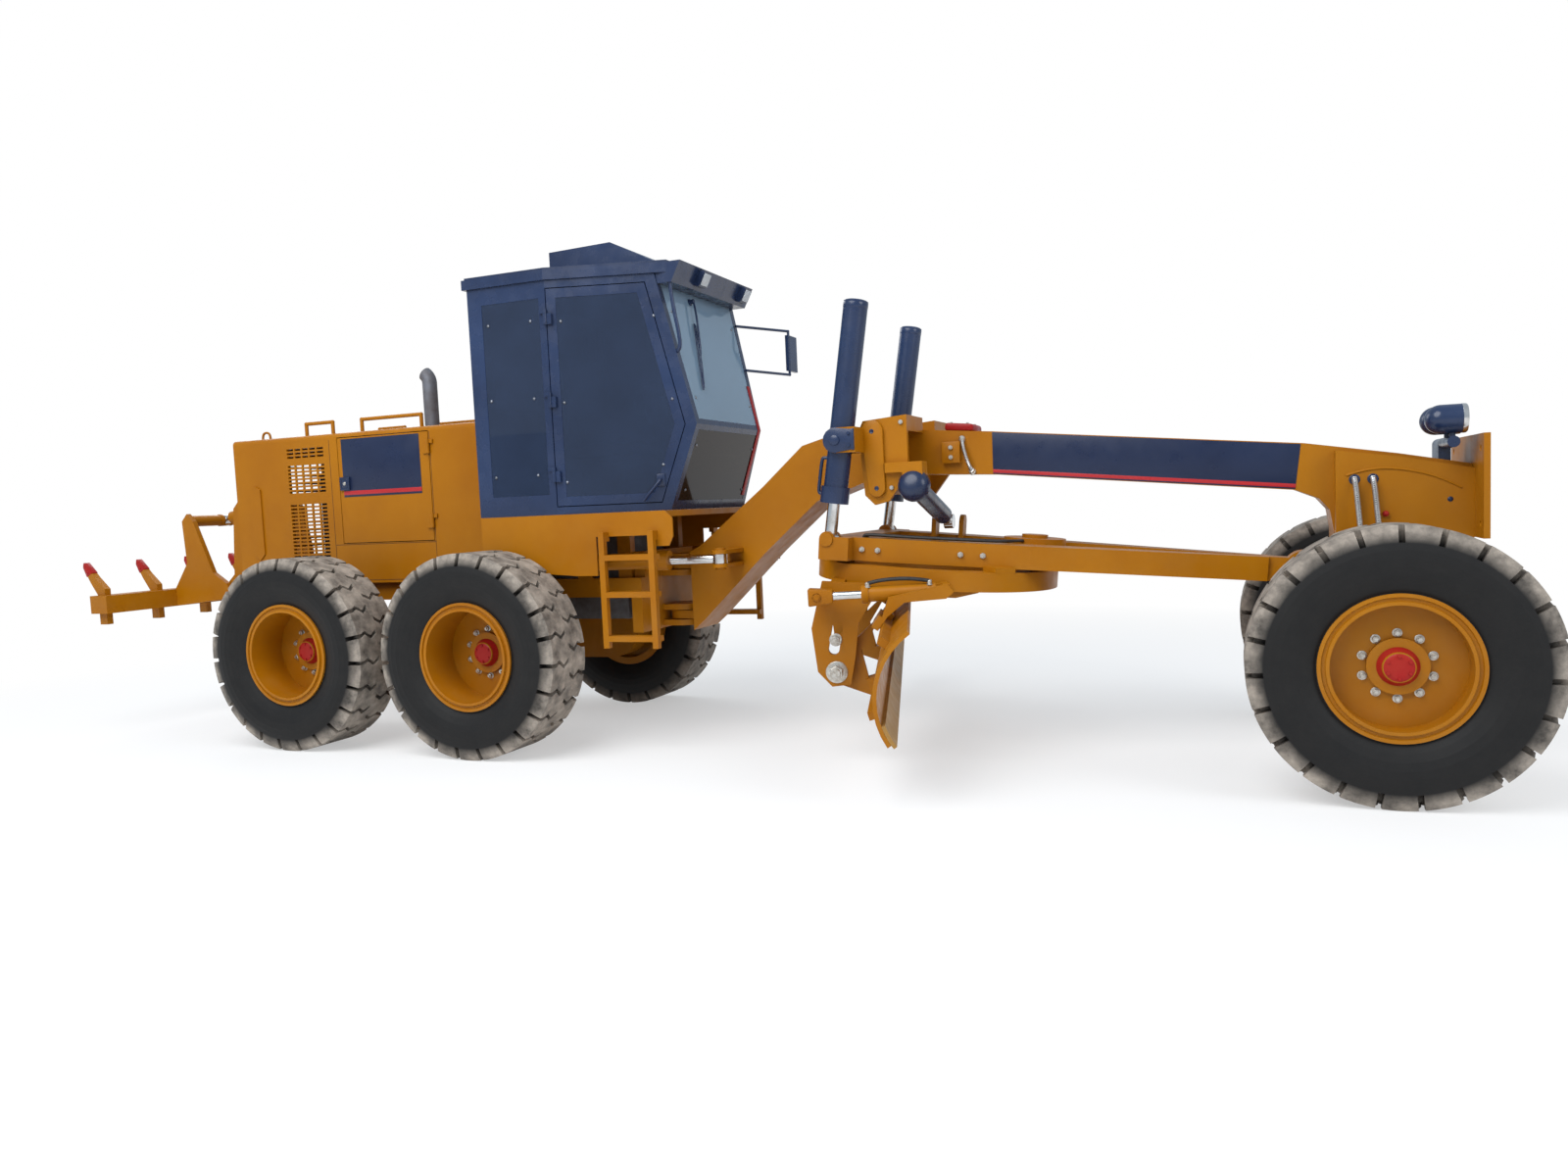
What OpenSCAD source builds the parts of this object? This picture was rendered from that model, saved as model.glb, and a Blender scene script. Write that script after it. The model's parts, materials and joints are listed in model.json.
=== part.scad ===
// Motor grader: an articulated road machine with tandem rear wheels, a long arched front frame
// and a blade hung under it on a drawbar and a turning circle.
// Millimetres. X points forward, Y to the left, Z up; the ground is at Z = 0.
// Inside the modules X is counted from the middle of the tandem axles.

/* [Wheels] */
// Outer radius of a tyre, at the tips of its lugs
tyre_r = 674; // [640:1:700]
// Width of a tyre
tyre_w = 445; // [400:1:460]
// Radius where the tyre bead sits on the rim
bead_r = 318; // [300:1:330]
// Radius of the rim flange
flange_r = 355; // [345:1:370]
// Distance of each wheel's middle plane from the machine's middle
wheel_y = 1045; // [1030:1:1080]
// Distance between the rear and the middle wheels
tandem_pitch = 1523; // [1500:1:1560]
// Distance from the tandem centre to the front axle
wheelbase = 6086; // [6000:1:6200]

/* [Rear body] */
// Length of the engine hood
hood_l = 2490; // [2400:5:2500]
// Rear end of the hood, behind the tandem centre
hood_rear = 1890; // [1850:5:1920]
// Width of the hood
hood_w = 1000; // [960:2:1020]
// Top of the hood above the ground
hood_top = 2250; // [2200:5:2300]
// Bottom edge of the hood
hood_low = 1121; // [1118:1:1140]
// Thickness of the hood's folded walls
hood_wall = 30; // [20:1:40]
// Length of each hood side door
hood_door_l = 850; // [700:5:900]
// Width over the two frame rails
rail_span = 860; // [840:2:880]
// Height of a frame rail
rail_h = 130; // [110:1:140]

/* [Cab] */
// Rear face of the cab
cab_rear = 640; // [630:1:660]
// Half width of the cab at its rear
cab_half = 800; // [780:1:805]
// Half width of the cab at the knee of its front
cab_front_half = 530; // [500:1:560]
// Bottom edge of the cab walls
cab_low = 1565; // [1560:1:1580]
// Top edge of the cab walls
cab_top = 3085; // [3000:5:3120]
// Height of the knee in the cab's front
knee_z = 2115; // [2050:5:2200]
// Knee's distance in front of the tandem centre
knee_x = 2167; // [2120:1:2200]
// Rear edge of the cab doors
door_x = 1250; // [1230:1:1280]
// Thickness of the cab walls and doors
cab_wall = 50; // [40:1:60]
// Thickness of the window glass
glass_t = 8; // [5:1:12]

/* [Front frame] */
// Position of the articulation hitch in front of the tandem centre
hitch_x = 1760; // [1750:1:1770]
// Width of the front beam
beam_w = 310; // [280:2:330]
// Width of the neck
neck_w = 390; // [360:2:400]
// Front face of the bolster's end plate
plate_x = 6590; // [6570:1:6600]
// Width of the bolster's end plate
plate_w = 900; // [860:5:940]
// Thickness of the bolster's end plate
plate_t = 30; // [25:1:40]
// Radius of the four bolt holes in the end plate
plate_hole_r = 16; // [12:1:20]

/* [Blade] */
// Length of the moldboard
blade_l = 3660; // [3600:10:3700]
// Chord height of the moldboard with its cutting edge
blade_h = 580; // [560:2:600]
// Radius of the moldboard's curve
blade_r = 413; // [400:1:430]
// Thickness of the moldboard
blade_t = 22; // [18:1:25]
// Angle at which the blade is parked, right end forward
blade_angle = 15; // [10:1:20]
// Outer radius of the circle
circle_r = 765; // [750:1:780]
// Pitch of the drawbar, rear end up
drawbar_tilt = 5; // [4:0.5:6]

/* [Clearances] */
// Radial clearance of a pin in its bore
pin_gap = 0.4; // [0.3:0.1:0.5]
// Gap around doors and between swinging plates
door_gap = 6; // [5:0.5:8]
// Gap between pieces that are seated on each other
seat_gap = 0.3; // [0.2:0.1:0.5]

/* [Hidden] */
$fn = 64;

// Paint and material colours
yellow = [0.85, 0.53, 0.05];
black = [0.06, 0.06, 0.07];
rubber = [0.10, 0.10, 0.10];
chrome = [0.75, 0.76, 0.78];
grey = [0.33, 0.34, 0.36];
tinted = [0.08, 0.10, 0.14, 0.55];

// Middle of the whole machine between the ripper's tips and the front tyres
origin_x = 1835;
axle_z = tyre_r;
rear_x = -tandem_pitch / 2;
mid_x = tandem_pitch / 2;
front_x = wheelbase;
// The front end's points are drawn at this wheelbase, and move with the front axle
drawn_wheelbase = 6086;
front_shift = wheelbase - drawn_wheelbase;
plate_face = plate_x + front_shift;
function ahead(points) = [for (p = points) [p.x + front_shift, p.y]];

// Moves a piece from the tandem centre to the machine's own origin
module on_machine() {
  translate([-origin_x, 0, 0]) children();
}

// Draws a piece and its mirror image on the other side
module both_sides() {
  children();
  mirror([0, 1, 0]) children();
}

// Plate cut to an outline in the X-Z plane, from y0 to y1
module side_plate(outline, y0, y1) {
  translate([0, y1, 0]) rotate([90, 0, 0]) linear_extrude(y1 - y0) polygon(outline);
}

// Block between two corners
module block(low, high) {
  translate(low) cube(high - low);
}

// Round bar between two points
module bar(a, b, r) {
  v = b - a;
  translate(a) rotate([0, acos(v.z / norm(v)), atan2(v.y, v.x)]) cylinder(h = norm(v), r = r);
}

// Round pin along Y, centred on a point
module pin_y(p, r, l) {
  translate(p) rotate([90, 0, 0]) cylinder(h = l, r = r, center = true);
}

// Round pin along X, centred on a point
module pin_x(p, r, l) {
  translate(p) rotate([0, 90, 0]) cylinder(h = l, r = r, center = true);
}

// Round pin along Z, centred on a point
module pin_z(p, r, l) {
  translate(p) cylinder(h = l, r = r, center = true);
}

// Inward normal of an edge of an anticlockwise outline
function edge_normal(a, b) = [a.y - b.y, b.x - a.x] / norm(b - a);

// Outline moved inwards by d, with every edge kept parallel
function inset(outline, d) = let (n = len(outline)) [
  for (i = [0 : n - 1])
    let (a = outline[(i + n - 1) % n], b = outline[i], c = outline[(i + 1) % n])
    let (m = edge_normal(a, b), k = edge_normal(b, c))
    b + d * (m + k) / (1 + m * k)
];

// Points of an arc about a centre, from angle a0 to a1
function arc(centre, r, a0, a1, steps = 6) = [
  for (i = [0 : steps]) let (a = a0 + (a1 - a0) * i / steps) centre + r * [cos(a), sin(a)]
];

// Wheels

rim_half = 170;
flange_t = 15;
rim_t = 18;
disc_t = 25;
hub_r = 135;
cap_r = 88;
spindle_r = 60;
// Where each disc lies, measured outwards from the wheel's middle plane
rear_disc = -95;
front_disc = 55;

shoulder_r = tyre_r - 34;
shoulder_half = 200;
tread_half = 185;
sidewall_bulge = tyre_w / 2 - (rim_half + shoulder_half) / 2;
sidewall_steps = 7;
wall_r0 = flange_r + 5;

// One sidewall of the tyre in radius and width, from the bead to the shoulder
function sidewall(side) = [
  for (i = [-1 : sidewall_steps]) let (t = max(0, i) / sidewall_steps)
    [i < 0 ? bead_r + seat_gap : wall_r0 + (shoulder_r - wall_r0) * t,
     side * (rim_half - seat_gap + (shoulder_half - rim_half) * t + sidewall_bulge * sin(180 * t))]
];

// Zigzag groove between two lugs, along the tyre's width and across its tread
lug_count = 23;
groove_w = 28;
groove_line = [[-14, 8], [22, 62], [-16, 112], [4, 150], [4, tyre_w / 2 + 10]];
groove_r = tyre_r - 32;
shoulder_groove_r = shoulder_r - 48;

module groove(i0, i1, r) {
  line = [for (i = [i0 : i1]) groove_line[i]];
  translate([0, 0, r]) linear_extrude(tyre_r - r + 10) polygon(concat(
    [for (p = line) p - [groove_w / 2, 0]],
    [for (i = [len(line) - 1 : -1 : 0]) line[i] + [groove_w / 2, 0]]
  ));
}

module tyre() {
  pitch = 360 / lug_count;
  difference() {
    rotate([-90, 0, 0]) rotate_extrude($fn = 96) polygon(concat(
      sidewall(-1),
      [[tyre_r, -tread_half], [tyre_r, tread_half]],
      [for (i = [sidewall_steps + 1 : -1 : 0]) sidewall(1)[i]]
    ));
    for (i = [0 : lug_count - 1]) {
      rotate([0, i * pitch, 0]) groove(0, 4, groove_r);
      rotate([0, i * pitch, 0]) groove(3, 4, shoulder_groove_r);
      rotate([0, (i + 0.5) * pitch, 0]) mirror([0, 1, 0]) groove(0, 4, groove_r);
      rotate([0, (i + 0.5) * pitch, 0]) mirror([0, 1, 0]) groove(3, 4, shoulder_groove_r);
    }
  }
}

// Rim with its disc and hub, outer side towards +Y
module rim(disc, hub_inner) {
  cap_h = 45;
  lip_w = 17;
  gutter = 5;
  hub_outer = disc + 40;
  rotate([-90, 0, 0]) difference() {
    union() {
      rotate_extrude($fn = 96) polygon([
        [bead_r - rim_t, -rim_half - flange_t], [flange_r, -rim_half - flange_t], [flange_r, -rim_half],
        [bead_r, -rim_half], [bead_r, rim_half],
        [flange_r, rim_half], [flange_r, rim_half + flange_t], [flange_r - lip_w, rim_half + flange_t],
        [flange_r - lip_w - 4, rim_half + gutter], [bead_r + 2, rim_half + gutter],
        [bead_r - 2, rim_half + flange_t + gutter], [bead_r - rim_t, rim_half + flange_t + gutter]
      ]);
      translate([0, 0, disc - disc_t / 2]) cylinder(h = disc_t, r = bead_r - rim_t / 2);
      translate([0, 0, hub_inner]) cylinder(h = hub_outer - hub_inner, r = hub_r);
      translate([0, 0, hub_outer]) cylinder(h = cap_h, r1 = cap_r, r2 = cap_r * 0.8);
    }
    translate([0, 0, hub_inner - 1]) cylinder(h = hub_outer - hub_inner - 10, r = spindle_r + pin_gap);
  }
}

rear_hub_inner = -160;
front_hub_inner = -120;

module wheel_place(x, side) {
  on_machine() translate([x, side * wheel_y, axle_z]) mirror([0, side < 0 ? 1 : 0, 0]) children();
}

module rear_rim(x, side) { color(yellow) wheel_place(x, side) rim(rear_disc, rear_hub_inner); }
module front_rim(side) { color(yellow) wheel_place(front_x, side) rim(front_disc, front_hub_inner); }
module tyre_at(x, side) { color(rubber) wheel_place(x, side) tyre(); }

// Rear frame, hood and engine

rail_top = 1115;
rail_low = rail_top - rail_h;
rail_t = 100;
rail_outer = rail_span / 2;
rail_rear = -1960;
rail_front = 1640;
hitch_plate_t = 40;
hitch_tongue_t = 58;
hitch_gap = 6;
hitch_r = 130;
tongue_r = 110;
hitch_pin_r = 45;
hitch_levels = [829, 1180];

ripper_pivot = [-2244, 0, 1058];
ripper_upper = [-2085, 0, 1730];
ripper_arm_y = 350;
ripper_pin_r = 30;
bracket_t = 40;
tow_hole_r = 25;
tow_plate_t = 50;
tow_x = -2075;

artic_tail = [1200, 560, 1232];
artic_head = [2251, 450, 1232];
artic_pin_r = 28;
artic_ear_t = 25;

module hitch_clevis(z) {
  for (s = [-1, 1])
    translate([0, 0, z + s * (hitch_tongue_t / 2 + hitch_gap + hitch_plate_t / 2)]) {
      pin_z([hitch_x, 0, 0], hitch_r, hitch_plate_t);
      block([rail_front - 20, -hitch_r, -hitch_plate_t / 2], [hitch_x, hitch_r, hitch_plate_t / 2]);
    }
  pin_z([hitch_x, 0, z], hitch_pin_r, hitch_tongue_t + 2 * hitch_gap + hitch_plate_t);
}

// Twin ears that hold the tail of an articulation cylinder, with its upright pin
module artic_tail_ears() {
  ear_r = 55;
  eye_t = 60;
  for (s = [-1, 1]) translate([0, 0, artic_tail.z + s * (eye_t / 2 + 2 + artic_ear_t / 2)]) {
    pin_z([artic_tail.x, artic_tail.y, 0], ear_r, artic_ear_t);
    block([artic_tail.x - ear_r, rail_outer - 30, -artic_ear_t / 2],
          [artic_tail.x + ear_r, artic_tail.y, artic_ear_t / 2]);
  }
  pin_z(artic_tail, artic_pin_r, eye_t + 4 + artic_ear_t);
  block([artic_tail.x - ear_r, rail_outer - 40, rail_low], [artic_tail.x + ear_r, rail_outer, 1300]);
}

module rear_frame() {
  front_wall_t = 80;
  front_wall_y = 370;
  rear_plate_t = 50;
  rear_plate_h = 220;
  cross_x = [-1500, 235, 1460];
  cross_w = 90;
  color(yellow) on_machine() difference() {
    union() {
      both_sides() block([rail_rear, rail_outer - rail_t, rail_low], [rail_front, rail_outer, rail_top]);
      for (x = cross_x)
        block([x, -rail_outer, rail_low], [x + cross_w, rail_outer, rail_low + 70]);
      block([rail_front - front_wall_t, -rail_outer, 740], [rail_front, rail_outer, rail_top]);
      block([rail_front - front_wall_t, -front_wall_y, 740], [rail_front, front_wall_y, 1290]);
      block([rail_rear - rear_plate_t, -hood_w / 2, rail_low - 40],
            [rail_rear, hood_w / 2, rail_low - 40 + rear_plate_h]);
      for (z = hitch_levels) hitch_clevis(z);
      both_sides() artic_tail_ears();
      both_sides() side_plate([
        [rail_rear, rail_low - 40], [ripper_pivot.x - 30, ripper_pivot.z - 60], [ripper_pivot.x - 60, ripper_pivot.z],
        [ripper_pivot.x - 30, ripper_pivot.z + 60], [ripper_pivot.x + 60, ripper_pivot.z + 140],
        [ripper_upper.x - 55, ripper_upper.z], [ripper_upper.x, ripper_upper.z + 55],
        [ripper_upper.x + 55, ripper_upper.z], [rail_rear, 1350]
      ], ripper_arm_y - bracket_t - 30, ripper_arm_y - 30);
      pin_y(ripper_upper, ripper_pin_r, 2 * (ripper_arm_y - 40));
      block([tow_x - 70, -90, rail_low], [rail_rear, 90, rail_low + tow_plate_t]);
    }
    both_sides() pin_y([ripper_pivot.x, ripper_arm_y - 50, ripper_pivot.z], ripper_pin_r + pin_gap, bracket_t + 20);
    pin_z([tow_x, 0, rail_low], tow_hole_r, 3 * tow_plate_t);
  }
}

case_y = 700;
case_w = 200;
case_h = 520;

module rear_axle() {
  housing_r = 180;
  bulge_r = 260;
  stub_end = wheel_y + rear_disc - 10;
  color(yellow) on_machine() {
    both_sides() {
      block([rear_x, case_y - case_w / 2, axle_z - case_h / 2], [mid_x, case_y + case_w / 2, axle_z + case_h / 2]);
      for (x = [rear_x, mid_x]) {
        pin_y([x, case_y, axle_z], case_h / 2, case_w);
        pin_y([x, (case_y + case_w / 2 + stub_end) / 2, axle_z], spindle_r, stub_end - case_y - case_w / 2);
      }
      block([-160, rail_outer - rail_t, axle_z], [160, rail_outer, rail_low - seat_gap]);
    }
    pin_y([0, 0, axle_z], housing_r, 2 * case_y);
    pin_y([0, 0, axle_z], bulge_r, 420);
  }
}

engine_front = 250;

module engine_block() {
  engine_rear = -1250;
  engine_half = 280;
  gearbox_x = [330, 1450];
  color(grey) on_machine() {
    block([engine_rear, -engine_half, rail_top + 10], [engine_front, engine_half, 1950]);
    for (x = [-1000, -80])
      block([x, -rail_outer, rail_top + seat_gap], [x + 150, rail_outer, rail_top + 60]);
    block([engine_front, -220, 1150], [gearbox_x[0], 220, 1450]);
    block([gearbox_x[0], -engine_half, 820], [gearbox_x[1], engine_half, 1480]);
  }
}

hood_x0 = -hood_rear;
hood_x1 = hood_x0 + hood_l;
hood_round = 35;
hood_door_x1 = 0;
hood_door_x0 = hood_door_x1 - hood_door_l;
hood_door_low = 1418;
hood_door_top = hood_top - hood_round;
hinge_r = 13;
hinge_pin_r = 6;
hinge_l = 70;
hood_hinge_z = [hood_door_low + 130, hood_door_top - 130];

// Cross-section of the hood in Y and Z, moved inwards by d
function hood_section(d) = let (h = hood_w / 2 - d, top = hood_top - d, r = hood_round - d / 2) concat(
  [[-h, hood_low - d], [h, hood_low - d]],
  arc([h - r, top - r], r, 0, 90, 4),
  arc([-h + r, top - r], r, 90, 180, 4)
);

// Long block of a given Y-Z section from x0 to x1
module section_x(outline, x0, x1) {
  translate([x0, 0, 0]) rotate([90, 0, 90]) linear_extrude(x1 - x0) polygon(outline);
}

// Outline of the left door's opening in the hood side
module hood_door_cut(gap) {
  block([hood_door_x0 + gap, hood_w / 2 - 2 * hood_wall, hood_door_low + gap],
        [hood_door_x1 - gap, hood_w / 2 + 1, hood_door_top - gap]);
}

// Yellow grab rail on the hood's top between two places along the hood
module grab_rail(x0, x1) {
  tube_r = 14;
  rail_y = 400;
  rail_z = 2345;
  for (x = [x0, x1]) bar([x, rail_y, hood_top - 10], [x, rail_y, rail_z], tube_r);
  for (x = [x0, x1]) translate([x, rail_y, rail_z]) sphere(r = tube_r + 1);
  bar([x0, rail_y, rail_z], [x1, rail_y, rail_z], tube_r);
}

// Side grille: rows of slots in the hood's wall, each row crossed by upright bars
grille_x = [-1346, -985];
grille_rows = [[1240, 18], [1818, 8], [2084, 3]];
grille_pitch = 28;
grille_slot = 15;
grille_bars = 4;
grille_bar_w = 14;
grille_bar_t = 12;

module grille_slots() {
  for (g = grille_rows, i = [0 : g[1] - 1])
    block([grille_x[0], hood_w / 2 - hood_wall - 1, g[0] + i * grille_pitch],
          [grille_x[1], hood_w / 2 + 1, g[0] + i * grille_pitch + grille_slot]);
}

module grille_uprights() {
  bar_pitch = (grille_x[1] - grille_x[0]) / (grille_bars + 1);
  for (g = grille_rows, k = [1 : grille_bars])
    block([grille_x[0] + k * bar_pitch - grille_bar_w / 2, hood_w / 2 - grille_bar_t, g[0] - 5],
          [grille_x[0] + k * bar_pitch + grille_bar_w / 2, hood_w / 2, g[0] + g[1] * grille_pitch]);
}

module engine_hood() {
  ridge = [-1737, -1635];
  ridge_z = [1310, 1887];
  ridge_h = 12;
  ridge_cut = 50;
  ridge_mid = (ridge[0] + ridge[1]) / 2;
  fan_half = 400;
  fan_z = [1330, 2110];
  slat_pitch = 65;
  slat_t = 14;
  color(yellow) on_machine() {
    difference() {
      section_x(hood_section(0), hood_x0, hood_x1);
      section_x(hood_section(hood_wall), hood_x0 + hood_wall, hood_x1 + 1);
      both_sides() hood_door_cut(0);
      both_sides() grille_slots();
      block([hood_x0 - 1, -fan_half, fan_z[0]], [hood_x0 + hood_wall + 1, fan_half, fan_z[1]]);
    }
    for (z = [fan_z[0] + slat_pitch : slat_pitch : fan_z[1] - slat_t])
      block([hood_x0, -fan_half, z], [hood_x0 + hood_wall, fan_half, z + slat_t]);
    both_sides() {
      grille_uprights();
      side_plate([
        [ridge_mid, ridge_z[0]], [ridge[1], ridge_z[0] + ridge_cut], [ridge[1], ridge_z[1] - ridge_cut / 2],
        [ridge_mid, ridge_z[1]], [ridge[0], ridge_z[1] - ridge_cut / 2], [ridge[0], ridge_z[0] + ridge_cut]
      ], hood_w / 2 - 5, hood_w / 2 + ridge_h);
      grab_rail(-1227, -967);
      grab_rail(-686, -132);
      for (z = hood_hinge_z) {
        pin_z([hood_door_x1, hood_w / 2 + hinge_r, z + hinge_l / 2 + 15], hinge_r, 28);
        block([hood_door_x1, hood_w / 2 - 5, z + hinge_l / 2 + 1], [hood_door_x1 + 40, hood_w / 2 + hinge_r, z + hinge_l / 2 + 29]);
        pin_z([hood_door_x1, hood_w / 2 + hinge_r, z + 8], hinge_pin_r, hinge_l + 14);
      }
    }
    // Foot flanges that stand on the frame rails
    both_sides() block([hood_x0 + 100, rail_outer - 40, rail_top + seat_gap], [hood_x0 + 600, hood_w / 2 - 5, hood_low + 8]);
    both_sides() block([100, rail_outer - 40, rail_top + seat_gap], [500, hood_w / 2 - 5, hood_low + 8]);
  }
}

// Left hood door with its hinge knuckles at the front and a latch at the rear edge
module hood_door() {
  latch_z = 1867;
  difference() {
    union() {
      intersection() {
        difference() {
          section_x(hood_section(0), hood_x0, hood_x1);
          section_x(hood_section(hood_wall), hood_x0, hood_x1 + 1);
        }
        hood_door_cut(door_gap);
      }
      for (z = hood_hinge_z) {
        pin_z([hood_door_x1, hood_w / 2 + hinge_r, z], hinge_r, hinge_l);
        block([hood_door_x1 - 50, hood_w / 2 - 5, z - hinge_l / 2], [hood_door_x1 - 4, hood_w / 2 + hinge_r, z + hinge_l / 2]);
      }
      block([hood_door_x0 + 20, hood_w / 2 - 5, latch_z - 45], [hood_door_x0 + 100, hood_w / 2 + 10, latch_z + 45]);
    }
    for (z = hood_hinge_z) pin_z([hood_door_x1, hood_w / 2 + hinge_r, z], hinge_pin_r + pin_gap, hinge_l + 2);
  }
}

module hood_door_left() { color(yellow) on_machine() hood_door(); }
module hood_door_right() { color(yellow) on_machine() mirror([0, 1, 0]) hood_door(); }

module exhaust_stack() {
  stack_x = -360;
  stack_r = 55;
  bend_z = 2620;
  bend_r = 90;
  color(grey) on_machine() {
    translate([stack_x, 0, hood_top + seat_gap]) cylinder(h = bend_z - hood_top - seat_gap, r = stack_r);
    translate([stack_x, 0, hood_top + seat_gap]) cylinder(h = 25, r = stack_r + 25);
    translate([stack_x - bend_r, 0, bend_z]) rotate([90, 0, 0])
      rotate_extrude(angle = 55) translate([bend_r, 0]) circle(r = stack_r);
  }
}

// Cab

cab_bottom_x = 1980;
cab_top_x = 1945;
deck_t = 40;
deck_front = 2092;
pillar_w = 70;
door_frame_w = 60;
skirt_t = 12;
roof_t = 80;

// Front edge of the cab at a height, kinked at the knee
function front_edge(z) = z < knee_z
  ? knee_x - (knee_z - z) * (knee_x - cab_bottom_x) / (knee_z - cab_low)
  : knee_x - (z - knee_z) * (knee_x - cab_top_x) / (cab_top - knee_z);

// Side of the cab in plan at a place along the machine
function cab_side(x) = cab_half - max(0, x - door_x) * (cab_half - cab_front_half) / (knee_x - door_x);

// Plan of the cab, anticlockwise, and its side view, run on past the top and bottom by ext
cab_plan = let (far = knee_x + 200) [
  [cab_rear, -cab_half], [door_x, -cab_half], [far, -cab_side(far)],
  [far, cab_side(far)], [door_x, cab_half], [cab_rear, cab_half]
];
function cab_view(ext) = [
  [cab_rear, cab_low - ext], [front_edge(cab_low - ext), cab_low - ext], [knee_x, knee_z],
  [front_edge(cab_top + ext), cab_top + ext], [cab_rear, cab_top + ext]
];

// Solid inside the cab's walls at a depth d, run on past the top and bottom by ext
module cab_solid(d, ext) {
  intersection() {
    translate([0, 0, cab_low - ext]) linear_extrude(cab_top - cab_low + 2 * ext) polygon(inset(cab_plan, d));
    side_plate(inset(cab_view(ext), d), -cab_half, cab_half);
  }
}

// Skin of the cab between two depths
module cab_skin(d0, d1) {
  difference() {
    cab_solid(d0, d0 > 0 ? 200 : 0);
    cab_solid(d1, 300);
  }
}

// Outlines of the openings in side view and in front view
door_sill = 50;
door_outline = let (z0 = cab_low + door_sill, z1 = cab_top - door_sill) [
  [door_x, z0], [front_edge(z0) - pillar_w, z0], [knee_x - pillar_w, knee_z],
  [front_edge(z1) - pillar_w, z1], [door_x, z1]
];
door_window = inset(door_outline, door_gap + door_frame_w);
side_window = [[751, 1699], [1199, 1699], [1199, 2974], [751, 2974]];
screen_edge = 55;
screen_top = let (z0 = knee_z + 35, z1 = cab_top - 60) [
  [-cab_side(front_edge(z0)) + screen_edge, z0], [cab_side(front_edge(z0)) - screen_edge, z0],
  [cab_side(front_edge(z1)) - screen_edge, z1], [-cab_side(front_edge(z1)) + screen_edge, z1]
];
screen_low = let (z0 = cab_low + 60, z1 = knee_z - 35) [
  [-cab_side(front_edge(z0)) + screen_edge, z0], [cab_side(front_edge(z0)) - screen_edge, z0],
  [cab_side(front_edge(z1)) - screen_edge, z1], [-cab_side(front_edge(z1)) + screen_edge, z1]
];
rear_window = [[-620, 2310], [620, 2310], [620, 2960], [-620, 2960]];
cab_mid_x = 1500;

// Everything that lies behind an outline of the cab's left side, front or rear
module left_of(outline) { side_plate(outline, cab_front_half / 2, cab_half + 50); }
module front_of(outline) { section_x(outline, cab_mid_x, knee_x + 100); }
module rear_of(outline) { section_x(outline, cab_rear - 100, cab_mid_x); }

cab_hinge_z = [cab_low + 250, 2300, cab_top - 250];
cab_hinge_y = cab_half + hinge_r;

module cab_frame() {
  color(black) on_machine() {
    difference() {
      cab_skin(0, cab_wall);
      both_sides() {
        left_of(door_outline);
        left_of(side_window);
      }
      front_of(screen_top);
      front_of(screen_low);
      rear_of(rear_window);
    }
    both_sides() for (z = cab_hinge_z) {
      pin_z([door_x, cab_hinge_y, z + hinge_l / 2 + 15], hinge_r, 28);
      block([door_x - 45, cab_half - 5, z + hinge_l / 2 + 1], [door_x, cab_hinge_y, z + hinge_l / 2 + 29]);
      pin_z([door_x, cab_hinge_y, z + 8], hinge_pin_r, hinge_l + 14);
    }
  }
}

module cab_glass() {
  color(tinted) on_machine() {
    both_sides() intersection() {
      cab_skin(2, 2 + glass_t);
      left_of(inset(side_window, seat_gap));
    }
    intersection() {
      cab_skin(2, 2 + glass_t);
      front_of(inset(screen_top, seat_gap));
    }
    intersection() {
      cab_skin(2, 2 + glass_t);
      front_of(inset(screen_low, seat_gap));
    }
    intersection() {
      cab_skin(2, 2 + glass_t);
      rear_of(inset(rear_window, seat_gap));
    }
  }
}

// Left cab door, hinged at its rear edge
module cab_door() {
  difference() {
    union() {
      difference() {
        intersection() {
          cab_skin(0, cab_wall);
          left_of(inset(door_outline, door_gap));
        }
        left_of(door_window);
      }
      for (z = cab_hinge_z) {
        pin_z([door_x, cab_hinge_y, z], hinge_r, hinge_l);
        block([door_x, cab_half - 5, z - hinge_l / 2], [door_x + 45, cab_hinge_y, z + hinge_l / 2]);
      }
    }
    for (z = cab_hinge_z) pin_z([door_x, cab_hinge_y, z], hinge_pin_r + pin_gap, hinge_l + 2);
    for (z = cab_hinge_z) block([door_x - 40, cab_half - 60, z - hinge_l], [door_x + 4, cab_half + 1, z + hinge_l]);
  }
}

module cab_door_glass() {
  intersection() {
    cab_skin(2, 2 + glass_t);
    left_of(inset(door_window, seat_gap));
  }
}

module door_left() { color(black) on_machine() cab_door(); }
module door_right() { color(black) on_machine() mirror([0, 1, 0]) cab_door(); }
module door_left_glass() { color(tinted) on_machine() cab_door_glass(); }
module door_right_glass() { color(tinted) on_machine() mirror([0, 1, 0]) cab_door_glass(); }

roof_z = cab_top + seat_gap;
// Visor: a wedge in front of the windscreen's top, its face leaning forward
visor_low = 3020;
visor_top = roof_z + roof_t - 15;
visor_lean = 70;
visor_foot = 2060;
visor_half = 585;

// Place of the visor's face at a height
function visor_face(z) = visor_foot + (z - visor_low) * visor_lean / (visor_top - visor_low);

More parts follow.
